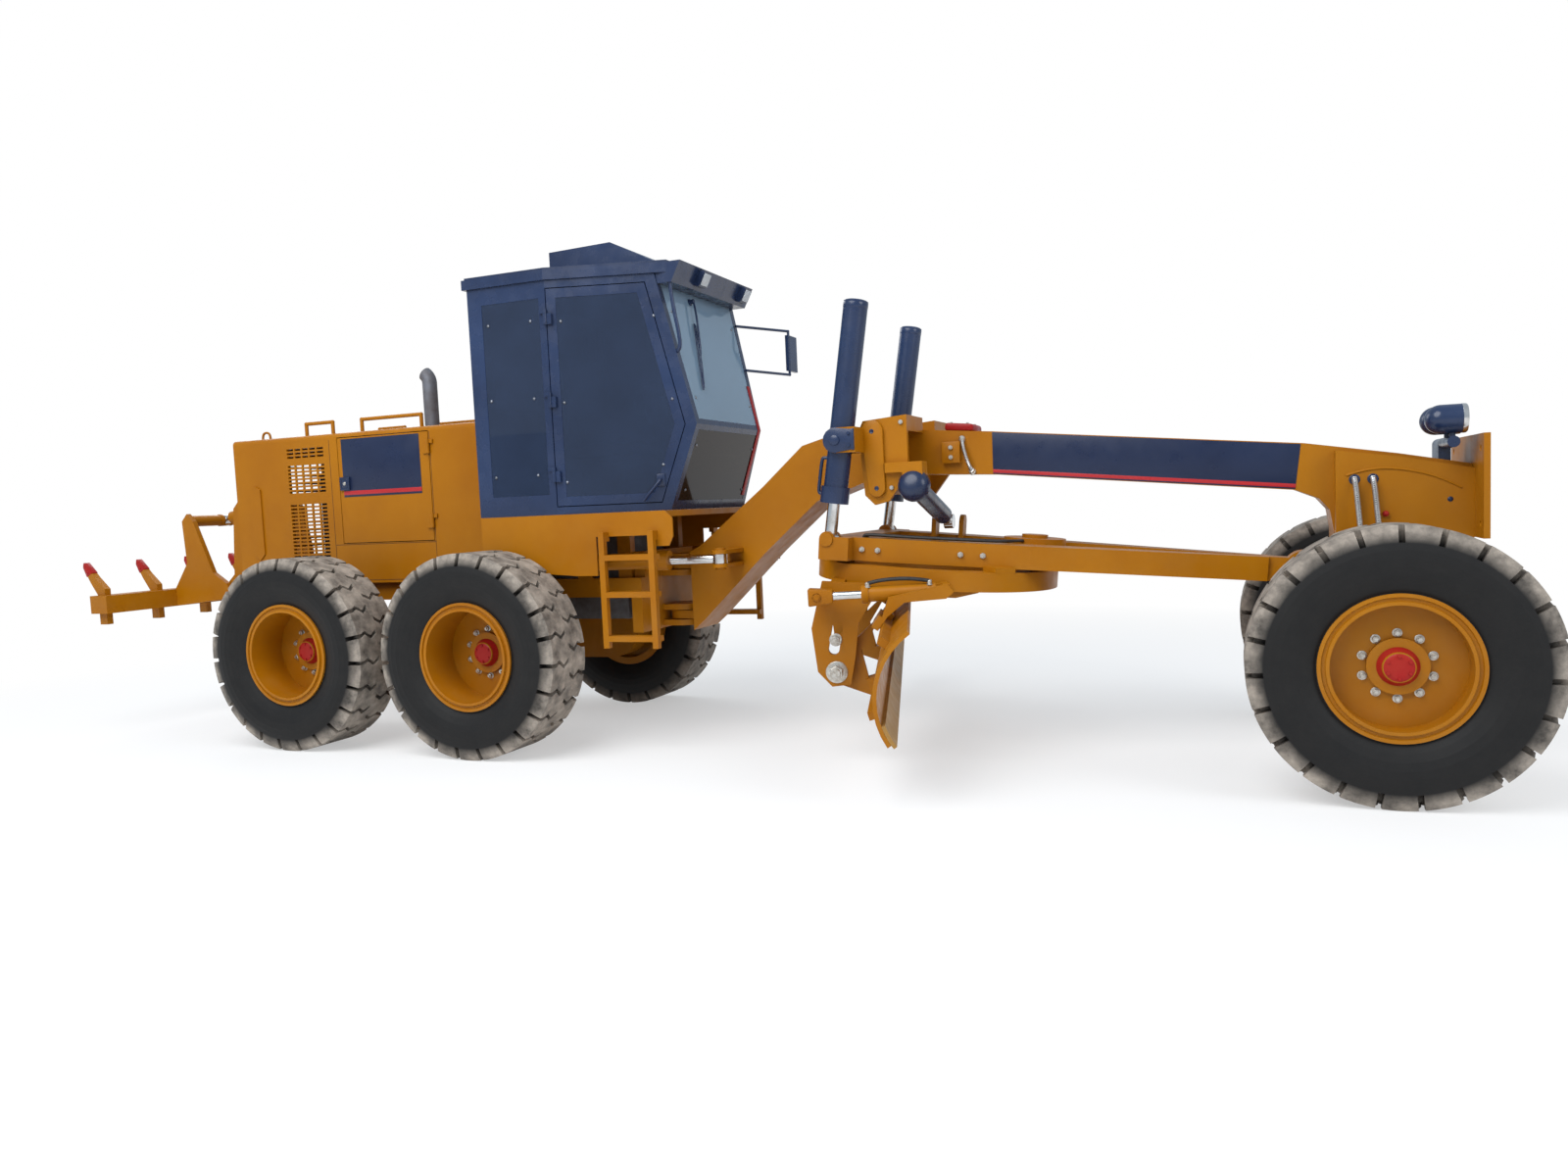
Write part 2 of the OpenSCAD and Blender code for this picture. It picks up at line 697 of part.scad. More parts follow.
module cab_roof() {
  overhang = 15;
  roof_front = 2040;
  edge_step = 15;
  plan = [
    [cab_rear - 30, -cab_half - overhang], [door_x, -cab_half - overhang],
    [roof_front, -cab_side(roof_front) - overhang], [roof_front, cab_side(roof_front) + overhang],
    [door_x, cab_half + overhang], [cab_rear - 30, cab_half + overhang]
  ];
  cooler = [
    [977, roof_z + roof_t - 5], [1790, roof_z + roof_t - 5], [1780, 3243], [1464, 3399], [977, 3387]
  ];
  cooler_half = 300;
  color(black) on_machine() {
    translate([0, 0, roof_z]) linear_extrude(roof_t - edge_step) polygon(plan);
    translate([0, 0, roof_z]) linear_extrude(roof_t) polygon(inset(plan, edge_step));
    side_plate(cooler, -cooler_half, cooler_half);
    side_plate([
      [front_edge(visor_low) + 1, visor_low], [visor_foot, visor_low], [visor_face(visor_top), visor_top],
      [cab_top_x - 60, visor_top], [cab_top_x - 60, roof_z], [cab_top_x + 1, roof_z]
    ], -visor_half, visor_half);
  }
}

// One ladder below a cab door, on the left
module ladder() {
  x = [1584, 1983];
  y = [825, 865];
  bar_t = 40;
  top = 1440;
  low = 690;
  for (s = [x[0], x[1] - bar_t]) block([s, y[0], low], [s + bar_t, y[1], top]);
  for (z = [751, 1036, 1275]) block([x[0], y[0] - 40, z - 18], [x[1], y[1], z + 18]);
  for (s = [x[0], x[1] - bar_t]) block([s, cab_half - skirt_t, top - 60], [s + bar_t, y[1], top]);
}

module cab_base() {
  skirt = [
    [cab_rear, cab_low - seat_gap], [cab_rear, 1212], [1381, 1158], [1531, 1158], [1531, 1411], [1963, 1411],
    [1963, 1340], [2060, 1340], [deck_front, 1400], [deck_front, 1515], [2040, cab_low - seat_gap]
  ];
  post_w = 100;
  post_in = 35;
  color(yellow) on_machine() {
    block([cab_rear, -cab_half, cab_low - deck_t], [2040, cab_half, cab_low - seat_gap]);
    both_sides() {
      side_plate([for (i = [len(skirt) - 1 : -1 : 0]) skirt[i]], cab_half - skirt_t, cab_half);
      for (x = [700, 1450])
        block([x, rail_outer - rail_t, rail_top + seat_gap], [x + post_w, rail_outer - post_in, cab_low - deck_t]);
      ladder();
    }
  }
}

module operator_station() {
  floor_z = cab_low;
  seat_x = 1050;
  console_x = 1680;
  color(black) on_machine() {
    block([seat_x, -180, floor_z], [seat_x + 360, 180, floor_z + 380]);
    block([seat_x - 30, -250, floor_z + 380], [seat_x + 470, 250, floor_z + 500]);
    side_plate([
      [seat_x - 30, floor_z + 450], [seat_x + 90, floor_z + 450], [seat_x - 10, floor_z + 1120], [seat_x - 110, floor_z + 1120]
    ], -240, 240);
    side_plate([
      [console_x, floor_z], [console_x + 160, floor_z], [console_x + 60, floor_z + 760], [console_x - 60, floor_z + 800]
    ], -130, 130);
    translate([console_x - 40, 0, floor_z + 800]) rotate([0, -35, 0]) {
      cylinder(h = 40, r = 30);
      translate([0, 0, 40]) rotate_extrude() translate([190, 0]) circle(r = 16, $fn = 24);
      for (a = [0, 120, 240]) rotate([0, 0, a]) translate([0, -12, 32]) cube([190, 24, 14]);
    }
    for (y = [-200, 200]) bar([console_x - 40, y, floor_z + 640], [console_x - 90, y, floor_z + 900], 14);
    for (y = [-200, 200]) block([console_x - 60, min(y, 0), floor_z + 600], [console_x + 40, max(y, 0), floor_z + 650]);
  }
}

module cab_fittings() {
  lamp_ys = [-230, 446];
  lamp_w = 110;
  lamp_z = [visor_low + 22, visor_top - 15];
  lamp_d = 40;
  mirror_y = 1010;
  mirror_x = 2230;
  mirror_z = [2560, 2890];
  tube_r = 10;
  color(black) on_machine() {
    for (y = lamp_ys) side_plate([
      [visor_face(lamp_z[0]) + seat_gap, lamp_z[0]], [visor_face(lamp_z[0]) + lamp_d, lamp_z[0] - 8],
      [visor_face(lamp_z[1]) + lamp_d, lamp_z[1] - 8], [visor_face(lamp_z[1]) + seat_gap, lamp_z[1]]
    ], y - lamp_w / 2, y + lamp_w / 2);
    for (z = mirror_z)
      bar([front_edge(z) + tube_r + 0.6, cab_side(front_edge(z)) - 40, z], [mirror_x, mirror_y, z], tube_r);
    bar([mirror_x, mirror_y, mirror_z[0]], [mirror_x, mirror_y, mirror_z[1]], tube_r);
    for (z = mirror_z) translate([mirror_x, mirror_y, z]) sphere(r = tube_r + 1);
    block([mirror_x - 20, mirror_y - 20, mirror_z[0] + 30], [mirror_x + 5, mirror_y + 160, mirror_z[1] - 30]);
  }
}

// Front frame, front axle and steering

// The drawbar's ball keeps to the drawbar's line when the axle moves
ball = [5747 + front_shift, 0, 1068 - front_shift * tan(drawbar_tilt)];
stud_end = 5900 + front_shift;
ball_r = 70;
neck_back = hitch_x + 145;
nose_x = 6212 + front_shift;
nose_z = 1699;
nose_end_z = 1625;
trunnion = [3174, 620, 1936];
lift_eye = [3080, 620, 1345];
lift_r = 74;
lift_rod_r = 38;
trunnion_r = 35;
shift_cap = [3600, -520, 1640];
shift_eye = [3600, 330, 1406];
shift_r = 60;
shift_rod_r = 30;
shift_pin_r = 30;
axle_pin_r = 50;
axle_half = 100;
bolster_half = 230;
lug_t = 40;

// Top of the beam's nose, which falls towards the end plate
function beam_nose(x) = nose_z - (x - nose_x) * (nose_z - nose_end_z) / (plate_face - plate_t - nose_x);

// Ears of a bracket on the neck, between which the eye of an articulation rod sits
module artic_head_ears() {
  ear_r = 55;
  eye_t = 60;
  head_r = 36;
  head_h = 14;
  for (s = [-1, 1]) translate([0, 0, artic_head.z + s * (eye_t / 2 + 2 + artic_ear_t / 2)]) {
    pin_z([artic_head.x, artic_head.y, 0], ear_r, artic_ear_t);
    block([artic_head.x - ear_r, neck_w / 2 - 20, -artic_ear_t / 2], [artic_head.x + ear_r, artic_head.y, artic_ear_t / 2]);
    pin_z([artic_head.x, artic_head.y, s * (artic_ear_t + head_h) / 2], head_r, head_h);
  }
}

module front_frame() {
  neck = [
    [neck_back, 729], [1990, 800], [2461, 1245], [2846, 1576], [3000, 1640], [3000, 2010], [2760, 1945],
    [2468, 1690], [1985, 1312], [neck_back, 1272]
  ];
  plate_back = plate_face - plate_t;
  beam = concat(
    [[2800, 1545], [2846, 1576], [3299, 1732], [3981, 1698]],
    ahead([[5701, 1522], [5820, 1470], [5874, 1405], [5898, 1267], [5898, 960], [6300, 960]]),
    [[plate_back, 1235], [plate_back, nose_end_z], [nose_x, nose_z]],
    ahead([[5744, 1782]]),
    [[4001, 1961], [3088, 2038], [2760, 1945]]
  );
  bolster = concat(
    ahead([[5898, 960], [6300, 960]]), [[plate_back, 1235], [plate_back, 1600]], ahead([[6212, 1680], [5898, 1730]])
  );
  lug_x = [front_x - axle_half - lug_t - 2, front_x + axle_half + 2];
  hole_y = plate_w / 2 - 80;
  hole_z = [1310, 1700];
  color(yellow) on_machine() {
    difference() {
      union() {
        side_plate(neck, -neck_w / 2, neck_w / 2);
        for (z = hitch_levels) {
          pin_z([hitch_x, 0, z], tongue_r, hitch_tongue_t);
          block([hitch_x, -tongue_r, z - hitch_tongue_t / 2], [neck_back + 60, tongue_r, z + hitch_tongue_t / 2]);
        }
      }
      for (z = hitch_levels) pin_z([hitch_x, 0, z], hitch_pin_r + pin_gap, hitch_tongue_t + 2);
    }
    side_plate(beam, -beam_w / 2, beam_w / 2);
    side_plate(bolster, -bolster_half, bolster_half);
    difference() {
      block([plate_back, -plate_w / 2, 1235], [plate_face, plate_w / 2, 1775]);
      for (y = [-hole_y, hole_y], z = hole_z) pin_x([plate_face, y, z], plate_hole_r, 4 * plate_t);
    }
    both_sides() artic_head_ears();
    // Lugs that hold the front axle's pivot pin
    for (x = lug_x) side_plate([[x, 640], [x + lug_t, 640], [x + lug_t, 970], [x, 970]], -150, 150);
    pin_x([front_x, 0, axle_z + 60], axle_pin_r, 2 * (axle_half + lug_t + 2));
    // Ball stud for the drawbar
    pin_x([(ball.x + stud_end) / 2, 0, ball.z], 45, stud_end - ball.x);
    translate(ball) sphere(r = ball_r);
  }
}

saddle_x = [3290, 3440];
yoke_t = 35;
yoke_gap = 6;

// Left half of the saddle that carries a lift cylinder in its yoke
module saddle_side() {
  inner = trunnion.y - lift_r - yoke_gap - yoke_t;
  outer = trunnion.y + lift_r + yoke_gap;
  cheek = [
    [3270, 1860], [3290, 1600], [3350, 1540], [saddle_x[1], 1560], [3564, 1720], [3564, 2074], [3290, 2051], [3270, 2010]
  ];
  ear = [[trunnion.x, trunnion.z - 75], [3300, 1860], [3300, 2010], [trunnion.x, trunnion.z + 75]];
  difference() {
    union() {
      block([saddle_x[0], beam_w / 2 + seat_gap, 1600], [saddle_x[1], inner + yoke_t, 2051]);
      side_plate(cheek, inner, inner + yoke_t);
      for (y = [inner, outer]) {
        side_plate(ear, y, y + yoke_t);
        pin_y([trunnion.x, y + yoke_t / 2, trunnion.z], 75, yoke_t);
      }
      block([3275, inner, 1860], [3300, outer + yoke_t, 2010]);
      side_plate([[3300, 1980], [3564, 1980], [3564, 2074], [3300, 2051]], beam_w / 2 + seat_gap, inner + yoke_t);
    }
    pin_y([trunnion.x, trunnion.y, trunnion.z], trunnion_r + pin_gap, 400);
  }
}

// Bracket on the right half of the saddle for the centre-shift cylinder
module shift_bracket() {
  ear_t = 30;
  eye_t = 60;
  for (s = [-1, 1]) translate([shift_cap.x + s * (eye_t / 2 + 2 + ear_t / 2), shift_cap.y, shift_cap.z]) {
    pin_x([0, 0, 0], 60, ear_t);
    block([-ear_t / 2, -60, 0], [ear_t / 2, 60, 130]);
  }
  pin_x(shift_cap, shift_pin_r, eye_t + 4 + ear_t);
  block([saddle_x[1] - 10, shift_cap.y - 60, shift_cap.z + 90], [shift_cap.x + eye_t / 2 + 2 + ear_t, shift_cap.y + 60, shift_cap.z + 150]);
}

module lift_saddle() {
  color(yellow) on_machine() {
    both_sides() saddle_side();
    shift_bracket();
  }
}

module front_lamps() {
  lamp_r = 75;
  lamp_l = 110;
  lamp_z = 1860;
  lamp_x = 6440 + front_shift;
  lamp_ys = [-330, -170];
  foot_x = [lamp_x - 30, lamp_x + 30];
  color(black) on_machine() {
    for (y = lamp_ys) {
      pin_x([lamp_x, y, lamp_z], lamp_r, lamp_l);
      translate([lamp_x - lamp_l / 2, y, lamp_z]) sphere(r = lamp_r);
      bar([lamp_x, y, 1740], [lamp_x, y, lamp_z], 14);
    }
    bar([lamp_x, lamp_ys[0] - 40, 1740], [lamp_x, 100, 1740], 30);
    side_plate([
      [foot_x[0], beam_nose(foot_x[0]) + seat_gap], [foot_x[1], beam_nose(foot_x[1]) + seat_gap],
      [foot_x[1], 1740], [foot_x[0], 1740]
    ], -100, 100);
  }
}

king_y = 700;
king_r = 40;
king_h = 300;
axle_z0 = axle_z - 90;
axle_z1 = axle_z + 130;
steer_arm = 150;
track_arm = 220;
tie_z = 540;
steer_z = axle_z + 60;
steer_base_y = 220;
steer_r = 42;
steer_rod_r = 22;
steer_barrel_l = 300;

module front_axle() {
  yoke_plate = 45;
  eye_half = king_h / 2;
  color(yellow) on_machine() difference() {
    union() {
      block([front_x - axle_half, -520, axle_z0], [front_x + axle_half, 520, axle_z1]);
      pin_x([front_x, 0, axle_z + 60], 110, 2 * axle_half);
      both_sides() {
        block([front_x - 70, 480, axle_z - eye_half], [front_x + 70, 535, axle_z + eye_half]);
        for (s = [-1, 1]) translate([0, 0, axle_z + s * (eye_half - yoke_plate / 2)]) {
          block([front_x - 65, 500, -yoke_plate / 2], [front_x + 65, king_y, yoke_plate / 2]);
          pin_z([front_x, king_y, 0], 65, yoke_plate);
        }
      }
    }
    pin_x([front_x, 0, axle_z + 60], axle_pin_r + pin_gap, 3 * axle_half);
    both_sides() pin_z([front_x, king_y, axle_z], king_r + pin_gap, king_h + 2);
  }
}

// Left knuckle: kingpin, spindle, track arm behind and steering arm in front
module knuckle() {
  body_half = 95;
  spindle_end = wheel_y + front_disc + 25;
  arm_t = 40;
  pin_z([front_x, king_y, axle_z], king_r, king_h);
  pin_z([front_x, king_y, axle_z], 75, 2 * body_half);
  pin_y([front_x, (king_y + spindle_end) / 2, axle_z], spindle_r, spindle_end - king_y);
  pin_y([front_x, king_y + 100, axle_z], 100, 50);
  // Track arm behind the kingpin, dropped to the tie rod's height
  block([front_x - track_arm, king_y - 35, axle_z - body_half], [front_x, king_y + 35, axle_z - body_half + arm_t]);
  pin_z([front_x - track_arm, king_y, axle_z - body_half + arm_t / 2], 45, arm_t);
  // Steering arm in front
  block([front_x, king_y - 30, steer_z - 60 - arm_t], [front_x + steer_arm, king_y + 30, steer_z - 60]);
  pin_z([front_x + steer_arm, king_y, steer_z - 60 - arm_t / 2], 45, arm_t);
}

module knuckle_left() { color(yellow) on_machine() knuckle(); }
module knuckle_right() { color(yellow) on_machine() mirror([0, 1, 0]) knuckle(); }

module tie_rod() {
  eye_r = 42;
  stud_r = 20;
  arm_low = axle_z - 95;
  rod_r = 24;
  color(black) on_machine() {
    both_sides() {
      pin_z([front_x - track_arm, king_y, tie_z], eye_r, 50);
      pin_z([front_x - track_arm, king_y, (tie_z + arm_low - 1) / 2], stud_r, arm_low - 1 - tie_z);
    }
    bar([front_x - track_arm, -king_y, tie_z], [front_x - track_arm, king_y, tie_z], rod_r);
  }
}

steer_x = front_x + steer_arm;

// Left steering cylinder's barrel, held at its base on the front of the axle
module steer_barrel() {
  difference() {
    union() {
      bar([steer_x, steer_base_y, steer_z], [steer_x, steer_base_y + steer_barrel_l, steer_z], steer_r);
      pin_z([steer_x, steer_base_y, steer_z], 50, 90);
      block([front_x + axle_half + seat_gap, steer_base_y - 40, steer_z - 45], [steer_x, steer_base_y + 40, steer_z + 45]);
    }
    bar([steer_x, steer_base_y + 25, steer_z], [steer_x, steer_base_y + steer_barrel_l + 1, steer_z], steer_rod_r + pin_gap);
  }
}

module steer_barrels() { color(yellow) on_machine() both_sides() steer_barrel(); }

// Left steering rod, its eye lying on the knuckle's steering arm
module steer_rod() {
  tail = steer_base_y + 140;
  bar([steer_x, tail, steer_z], [steer_x, king_y, steer_z], steer_rod_r);
  pin_z([steer_x, king_y, steer_z - 10], 40, 98);
}

module steer_rod_left() { color(chrome) on_machine() steer_rod(); }
module steer_rod_right() { color(chrome) on_machine() mirror([0, 1, 0]) steer_rod(); }

// Articulation cylinders

artic_r = 55;
artic_rod_r = 30;
artic_barrel_l = 700;
artic_start = 75;

// Places a cylinder drawn along +X so that it runs from a to b
module aim(a, b) {
  v = b - a;
  translate(a) rotate([0, -asin(v.z / norm(v)), atan2(v.y, v.x)]) children();
}

module artic_barrel() {
  eye_t = 60;
  difference() {
    union() {
      aim(artic_tail, artic_head) pin_x([(artic_start + artic_barrel_l) / 2, 0, 0], artic_r, artic_barrel_l - artic_start);
      aim(artic_tail, artic_head) pin_x([artic_start / 2 + 5, 0, 0], 28, artic_start + 10);
      aim(artic_tail, artic_head) pin_x([artic_barrel_l - 45, 0, 0], artic_r + 12, 90);
      pin_z(artic_tail, 52, eye_t);
    }
    pin_z(artic_tail, artic_pin_r + pin_gap, 200);
    aim(artic_tail, artic_head) pin_x([artic_barrel_l / 2 + 100, 0, 0], artic_rod_r + pin_gap, artic_barrel_l);
  }
}

module artic_rod() {
  l = norm(artic_head - artic_tail);
  tail = 300;
  aim(artic_tail, artic_head) pin_x([(tail + l) / 2, 0, 0], artic_rod_r, l - tail);
  pin_z(artic_head, 50, 60);
}

module artic_barrel_left() { color(yellow) on_machine() artic_barrel(); }
module artic_barrel_right() { color(yellow) on_machine() mirror([0, 1, 0]) artic_barrel(); }
module artic_rod_left() { color(chrome) on_machine() artic_rod(); }
module artic_rod_right() { color(chrome) on_machine() mirror([0, 1, 0]) artic_rod(); }

module axle_hoses() {
  hose_r = 16;
  top = [5990 + front_shift, bolster_half + hose_r + seat_gap, 1560];
  mid = [6020 + front_shift, 300, 1200];
  low = [6050 + front_shift, 240, axle_z1 + 6];
  color(grey) on_machine() both_sides() for (dx = [0, 90]) {
    bar(top + [dx, 0, 0], mid + [dx, 0, 0], hose_r);
    translate(mid + [dx, 0, 0]) sphere(r = hose_r + 1);
    bar(mid + [dx, 0, 0], low + [dx - 60, 0, 0], hose_r);
  }
}

// Drawbar, circle and blade

// A moved axle lengthens the drawbar, and the circle stays under the saddle
drawbar_growth = front_shift / cos(drawbar_tilt);
circle_back = 2155 + drawbar_growth;
drawbar_top = 60;
drawbar_low = -80;
ring_top = -100;
ring_low = -215;
ring_w = 130;
beam_rear_y = 600;
beam_front_y = 70;
drawbar_beam_w = 150;
drawbar_rear = 2700 + drawbar_growth;
drawbar_nose = 190;
lift_ear_t = 30;
lift_eye_t = 80;
lift_ear_r = 48;
shift_eye_half = 30;
// Play of the centre-shift rod's eye between its ears
shift_play = 48;

// Frame of the drawbar: origin at the ball, tilted so that the rear end is up
module in_drawbar() {
  translate(ball) rotate([0, drawbar_tilt, 0]) children();
}

// Frame of the circle: origin at its centre, turned to the parked blade angle
module in_circle() {
  in_drawbar() translate([-circle_back, 0, 0]) rotate([0, 0, blade_angle]) children();
}

// Point of the machine's frame in the drawbar's frame
function in_drawbar_point(p) = let (v = p - ball, c = cos(drawbar_tilt), s = sin(drawbar_tilt))
  [v.x * c - v.z * s, v.y, v.x * s + v.z * c];

module flat_plate(outline, z0, z1) {
  translate([0, 0, z0]) linear_extrude(z1 - z0) polygon(outline);
}

module drawbar() {
  eye = in_drawbar_point(lift_eye);
  clevis = in_drawbar_point(shift_eye);
  socket_r = 105;
  gearbox_r = 190;
  gearbox_x = -circle_back + circle_r - ring_w - 20;
  head_r = 42;
  clevis_half = shift_eye_half + shift_play + lift_ear_t;
  color(yellow) on_machine() in_drawbar() difference() {
    union() {
      both_sides() flat_plate([
        [-drawbar_rear, beam_rear_y - drawbar_beam_w], [-drawbar_nose, beam_front_y - drawbar_beam_w / 2],
        [-drawbar_nose, beam_front_y + drawbar_beam_w / 4], [-circle_back + circle_r - 100, beam_rear_y - 150],
        [-circle_back - 200, beam_rear_y], [-drawbar_rear, beam_rear_y]
      ], drawbar_low, drawbar_top);
      block([-drawbar_rear, -beam_rear_y - 95, drawbar_low], [-drawbar_rear + 160, beam_rear_y + 95, drawbar_top]);
      block([-circle_back + circle_r - 260, -430, drawbar_low], [-circle_back + circle_r - 60, 430, drawbar_top]);
      // Socket block around the ball
      pin_y([0, 0, 0], socket_r, 150);
      block([-drawbar_nose - 40, -75, drawbar_low], [0, 75, drawbar_top]);
      // Circle drive gearbox with its motor
      translate([gearbox_x, 0, drawbar_low]) cylinder(h = 170, r = gearbox_r);
      translate([gearbox_x, 0, 0]) cylinder(h = 110, r = 80);
      // Ears for the lift rods
      both_sides() for (s = [-1, 1]) {
        ear_y = eye.y + s * (lift_eye_t / 2 + 2 + lift_ear_t / 2);
        pin_y([eye.x, ear_y, eye.z], lift_ear_r, lift_ear_t);
        block([eye.x - lift_ear_r, ear_y - lift_ear_t / 2, drawbar_low],
          [eye.x + lift_ear_r, ear_y + lift_ear_t / 2, eye.z]);
        pin_y([eye.x, ear_y + s * (lift_ear_t / 2 + 6), eye.z], head_r, 14);
      }
      // Ears for the centre-shift rod
      for (s = [-1, 1]) {
        ear_x = clevis.x + s * (shift_eye_half + shift_play + lift_ear_t / 2);
        pin_x([ear_x, clevis.y, clevis.z], 50, lift_ear_t);
        block([ear_x - lift_ear_t / 2, clevis.y - 50, drawbar_low], [ear_x + lift_ear_t / 2, clevis.y + 50, clevis.z]);
      }
      block([clevis.x - clevis_half, clevis.y - 60, drawbar_low],
        [clevis.x + clevis_half, beam_rear_y - 60, drawbar_low + 50]);
      // Guide shoes that hold the circle from above
      for (a = [45, 135, 225, 315])
        translate([-circle_back, 0, 0]) rotate([0, 0, a]) block([circle_r - ring_w, -70, ring_top + seat_gap], [circle_r, 70, drawbar_low + 10]);
    }
    sphere(r = ball_r + pin_gap);
    // Room in the rear cross member for the eyes of the lift rods
    both_sides() block([eye.x - 75, eye.y - lift_eye_t / 2 - 2, eye.z - 64],
      [eye.x + 75, eye.y + lift_eye_t / 2 + 2, eye.z + 120]);
    // Throat that lets the ball stud in from the front
    rotate([0, 90, 0]) cylinder(h = 200, r1 = 50, r2 = 140);
  }
}

// Lift cylinders

lift_up = 830;
lift_down = 378;

module lift_barrel() {
  difference() {
    union() {
      aim(trunnion, lift_eye) pin_x([(lift_down - lift_up) / 2, 0, 0], lift_r, lift_down + lift_up);
      aim(trunnion, lift_eye) pin_x([lift_down - 50, 0, 0], lift_r + 14, 100);
      pin_y(trunnion, trunnion_r, 2 * (lift_r + yoke_gap + yoke_t));
    }
    aim(trunnion, lift_eye) pin_x([(lift_down - lift_up) / 2 + 20, 0, 0], lift_rod_r + pin_gap, lift_down + lift_up);
  }
}

module lift_barrels() { color(black) on_machine() both_sides() lift_barrel(); }

lift_rod_tail = 1245;

module lift_rods() {
  l = norm(lift_eye - trunnion);
  color(chrome) on_machine() both_sides() {
    aim(trunnion, lift_eye) pin_x([l - lift_rod_tail / 2, 0, 0], lift_rod_r, lift_rod_tail);
    pin_y(lift_eye, 46, lift_eye_t);
  }
}

// Centre-shift cylinder

shift_barrel_l = 700;
shift_rod_l = 705;
shift_start = 75;

module shift_barrel() {
  color(black) on_machine() difference() {
    union() {
      aim(shift_cap, shift_eye) pin_x([(shift_start + shift_barrel_l) / 2, 0, 0], shift_r, shift_barrel_l - shift_start);
      aim(shift_cap, shift_eye) pin_x([shift_start / 2 + 5, 0, 0], 28, shift_start + 10);
      pin_x(shift_cap, 55, 60);
    }
    pin_x(shift_cap, shift_pin_r + pin_gap, 100);
    aim(shift_cap, shift_eye) pin_x([shift_barrel_l / 2 + 62, 0, 0], shift_rod_r + pin_gap, shift_barrel_l - 60);
  }
}

module shift_rod() {
  l = norm(shift_eye - shift_cap);
  color(chrome) on_machine() {
    aim(shift_cap, shift_eye) pin_x([l - shift_rod_l / 2, 0, 0], shift_rod_r, shift_rod_l);
    pin_x(shift_eye, 48, 2 * shift_eye_half);
  }
}

// Circle with the two arms that reach down behind the blade. Profiles are in the circle's frame,
// forward and up; the blade's length runs along its Y.

arm_y = 700;
arm_t = 40;
tip_pivot = [-577, -735];
tip_pin_r = 40;
tip_anchor = [-700, -273];
tip_lug = [38, -195];
tip_y = 862;
tip_r = 45;
// Half the space between the horns, which clears the tip cylinder
horn_in = tip_r + 6;
tip_rod_r = 24;
arm_slot = [[-600, -600], [-585, -470]];
arm_slot_r = 32;

module blade_circle() {
  color(yellow) on_machine() in_circle() difference() {
    union() {
      difference() {
        translate([0, 0, ring_low]) cylinder(h = ring_top - ring_low, r = circle_r, $fn = 128);
        translate([0, 0, ring_low - 1]) cylinder(h = ring_top - ring_low + 2, r = circle_r - ring_w, $fn = 128);
      }
      both_sides() side_plate([
        [-690, ring_low + 20], [-740, -480], [-690, -740], [-600, -825], [-490, -805], [-470, -640], [-460, -430],
        [-390, -300], [-340, -262], [100, -255], [230, ring_low - 4], [230, ring_low + 20]
      ], arm_y - arm_t / 2, arm_y + arm_t / 2);
      block([-640, -arm_y, ring_low - 60], [-560, arm_y, ring_low + 20]);
      // Pin of the tip cylinder on the right arm
      pin_y([tip_anchor.x, -(arm_y + tip_y + 50) / 2, tip_anchor.y], 26, tip_y + 50 - arm_y);
    }
    both_sides() pin_y([tip_pivot.x, arm_y, tip_pivot.y], tip_pin_r + pin_gap, 2 * arm_t);
    // Slotted hole through each arm, which shows the pin of the tilt bracket
    both_sides() {
      for (p = arm_slot) pin_y([p.x, arm_y, p.y], arm_slot_r, 2 * arm_t);
      side_plate([
        arm_slot[0] + [-arm_slot_r, 0], arm_slot[0] + [arm_slot_r, 0], arm_slot[1] + [arm_slot_r, 0],
        arm_slot[1] + [-arm_slot_r, 0]
      ], arm_y - arm_t, arm_y + arm_t);
    }
  }
}

// Blade profile: an arc about a point in front of the blade

curve_centre = [104, -652];
curve_mid = 174;
curve_half = asin(blade_h / 2 / blade_r);
edge_t = 20;
blade_steps = 10;
// Front of the moldboard between two of its flats, where the edge lies against it
edge_r = blade_r * cos(curve_half / blade_steps) - seat_gap;
edge_angle = 16;
edge_drop = 2;
rail_angles = [150, 200];
rail_depth = 50;
rail_tall = 44;
shift_rest = 65.5;

// Sector between two radii and two angles about the blade's centre of curvature
function blade_sector(r0, r1, a0, a1, steps = 6) = concat(
  arc(curve_centre, r1, a0, a1, steps),
  arc(curve_centre, r0, a1, a0, steps)
);

// Bar section that stands out of the blade's back at an angle
function rail_section(a, r0, r1, h) = let (n = [cos(a), sin(a)], t = [-sin(a), cos(a)])
  [for (k = [[r0, -h / 2], [r1, -h / 2], [r1, h / 2], [r0, h / 2]]) curve_centre + n * k[0] + t * k[1]];

module moldboard() {
  color(yellow) on_machine() in_circle() {
    side_plate(blade_sector(blade_r, blade_r + blade_t, curve_mid - curve_half,
      curve_mid + curve_half - 1, blade_steps), shift_rest - blade_l / 2, shift_rest + blade_l / 2);
    for (a = rail_angles)
      side_plate(rail_section(a, blade_r + blade_t - 4, blade_r + blade_t + rail_depth, rail_tall),
        shift_rest - blade_l / 2 + 250, shift_rest + blade_l / 2 - 250);
  }
}

module cutting_edge() {
  color(grey) on_machine() in_circle()
    side_plate(blade_sector(edge_r - edge_t, edge_r,
      curve_mid + curve_half - edge_angle, curve_mid + curve_half + edge_drop),
      shift_rest - blade_l / 2, shift_rest + blade_l / 2);
}

shoe_gap = 0.6;
shoe_w = 130;
lever_y = arm_y - arm_t / 2 - 12 - 35;
lever_t = 35;

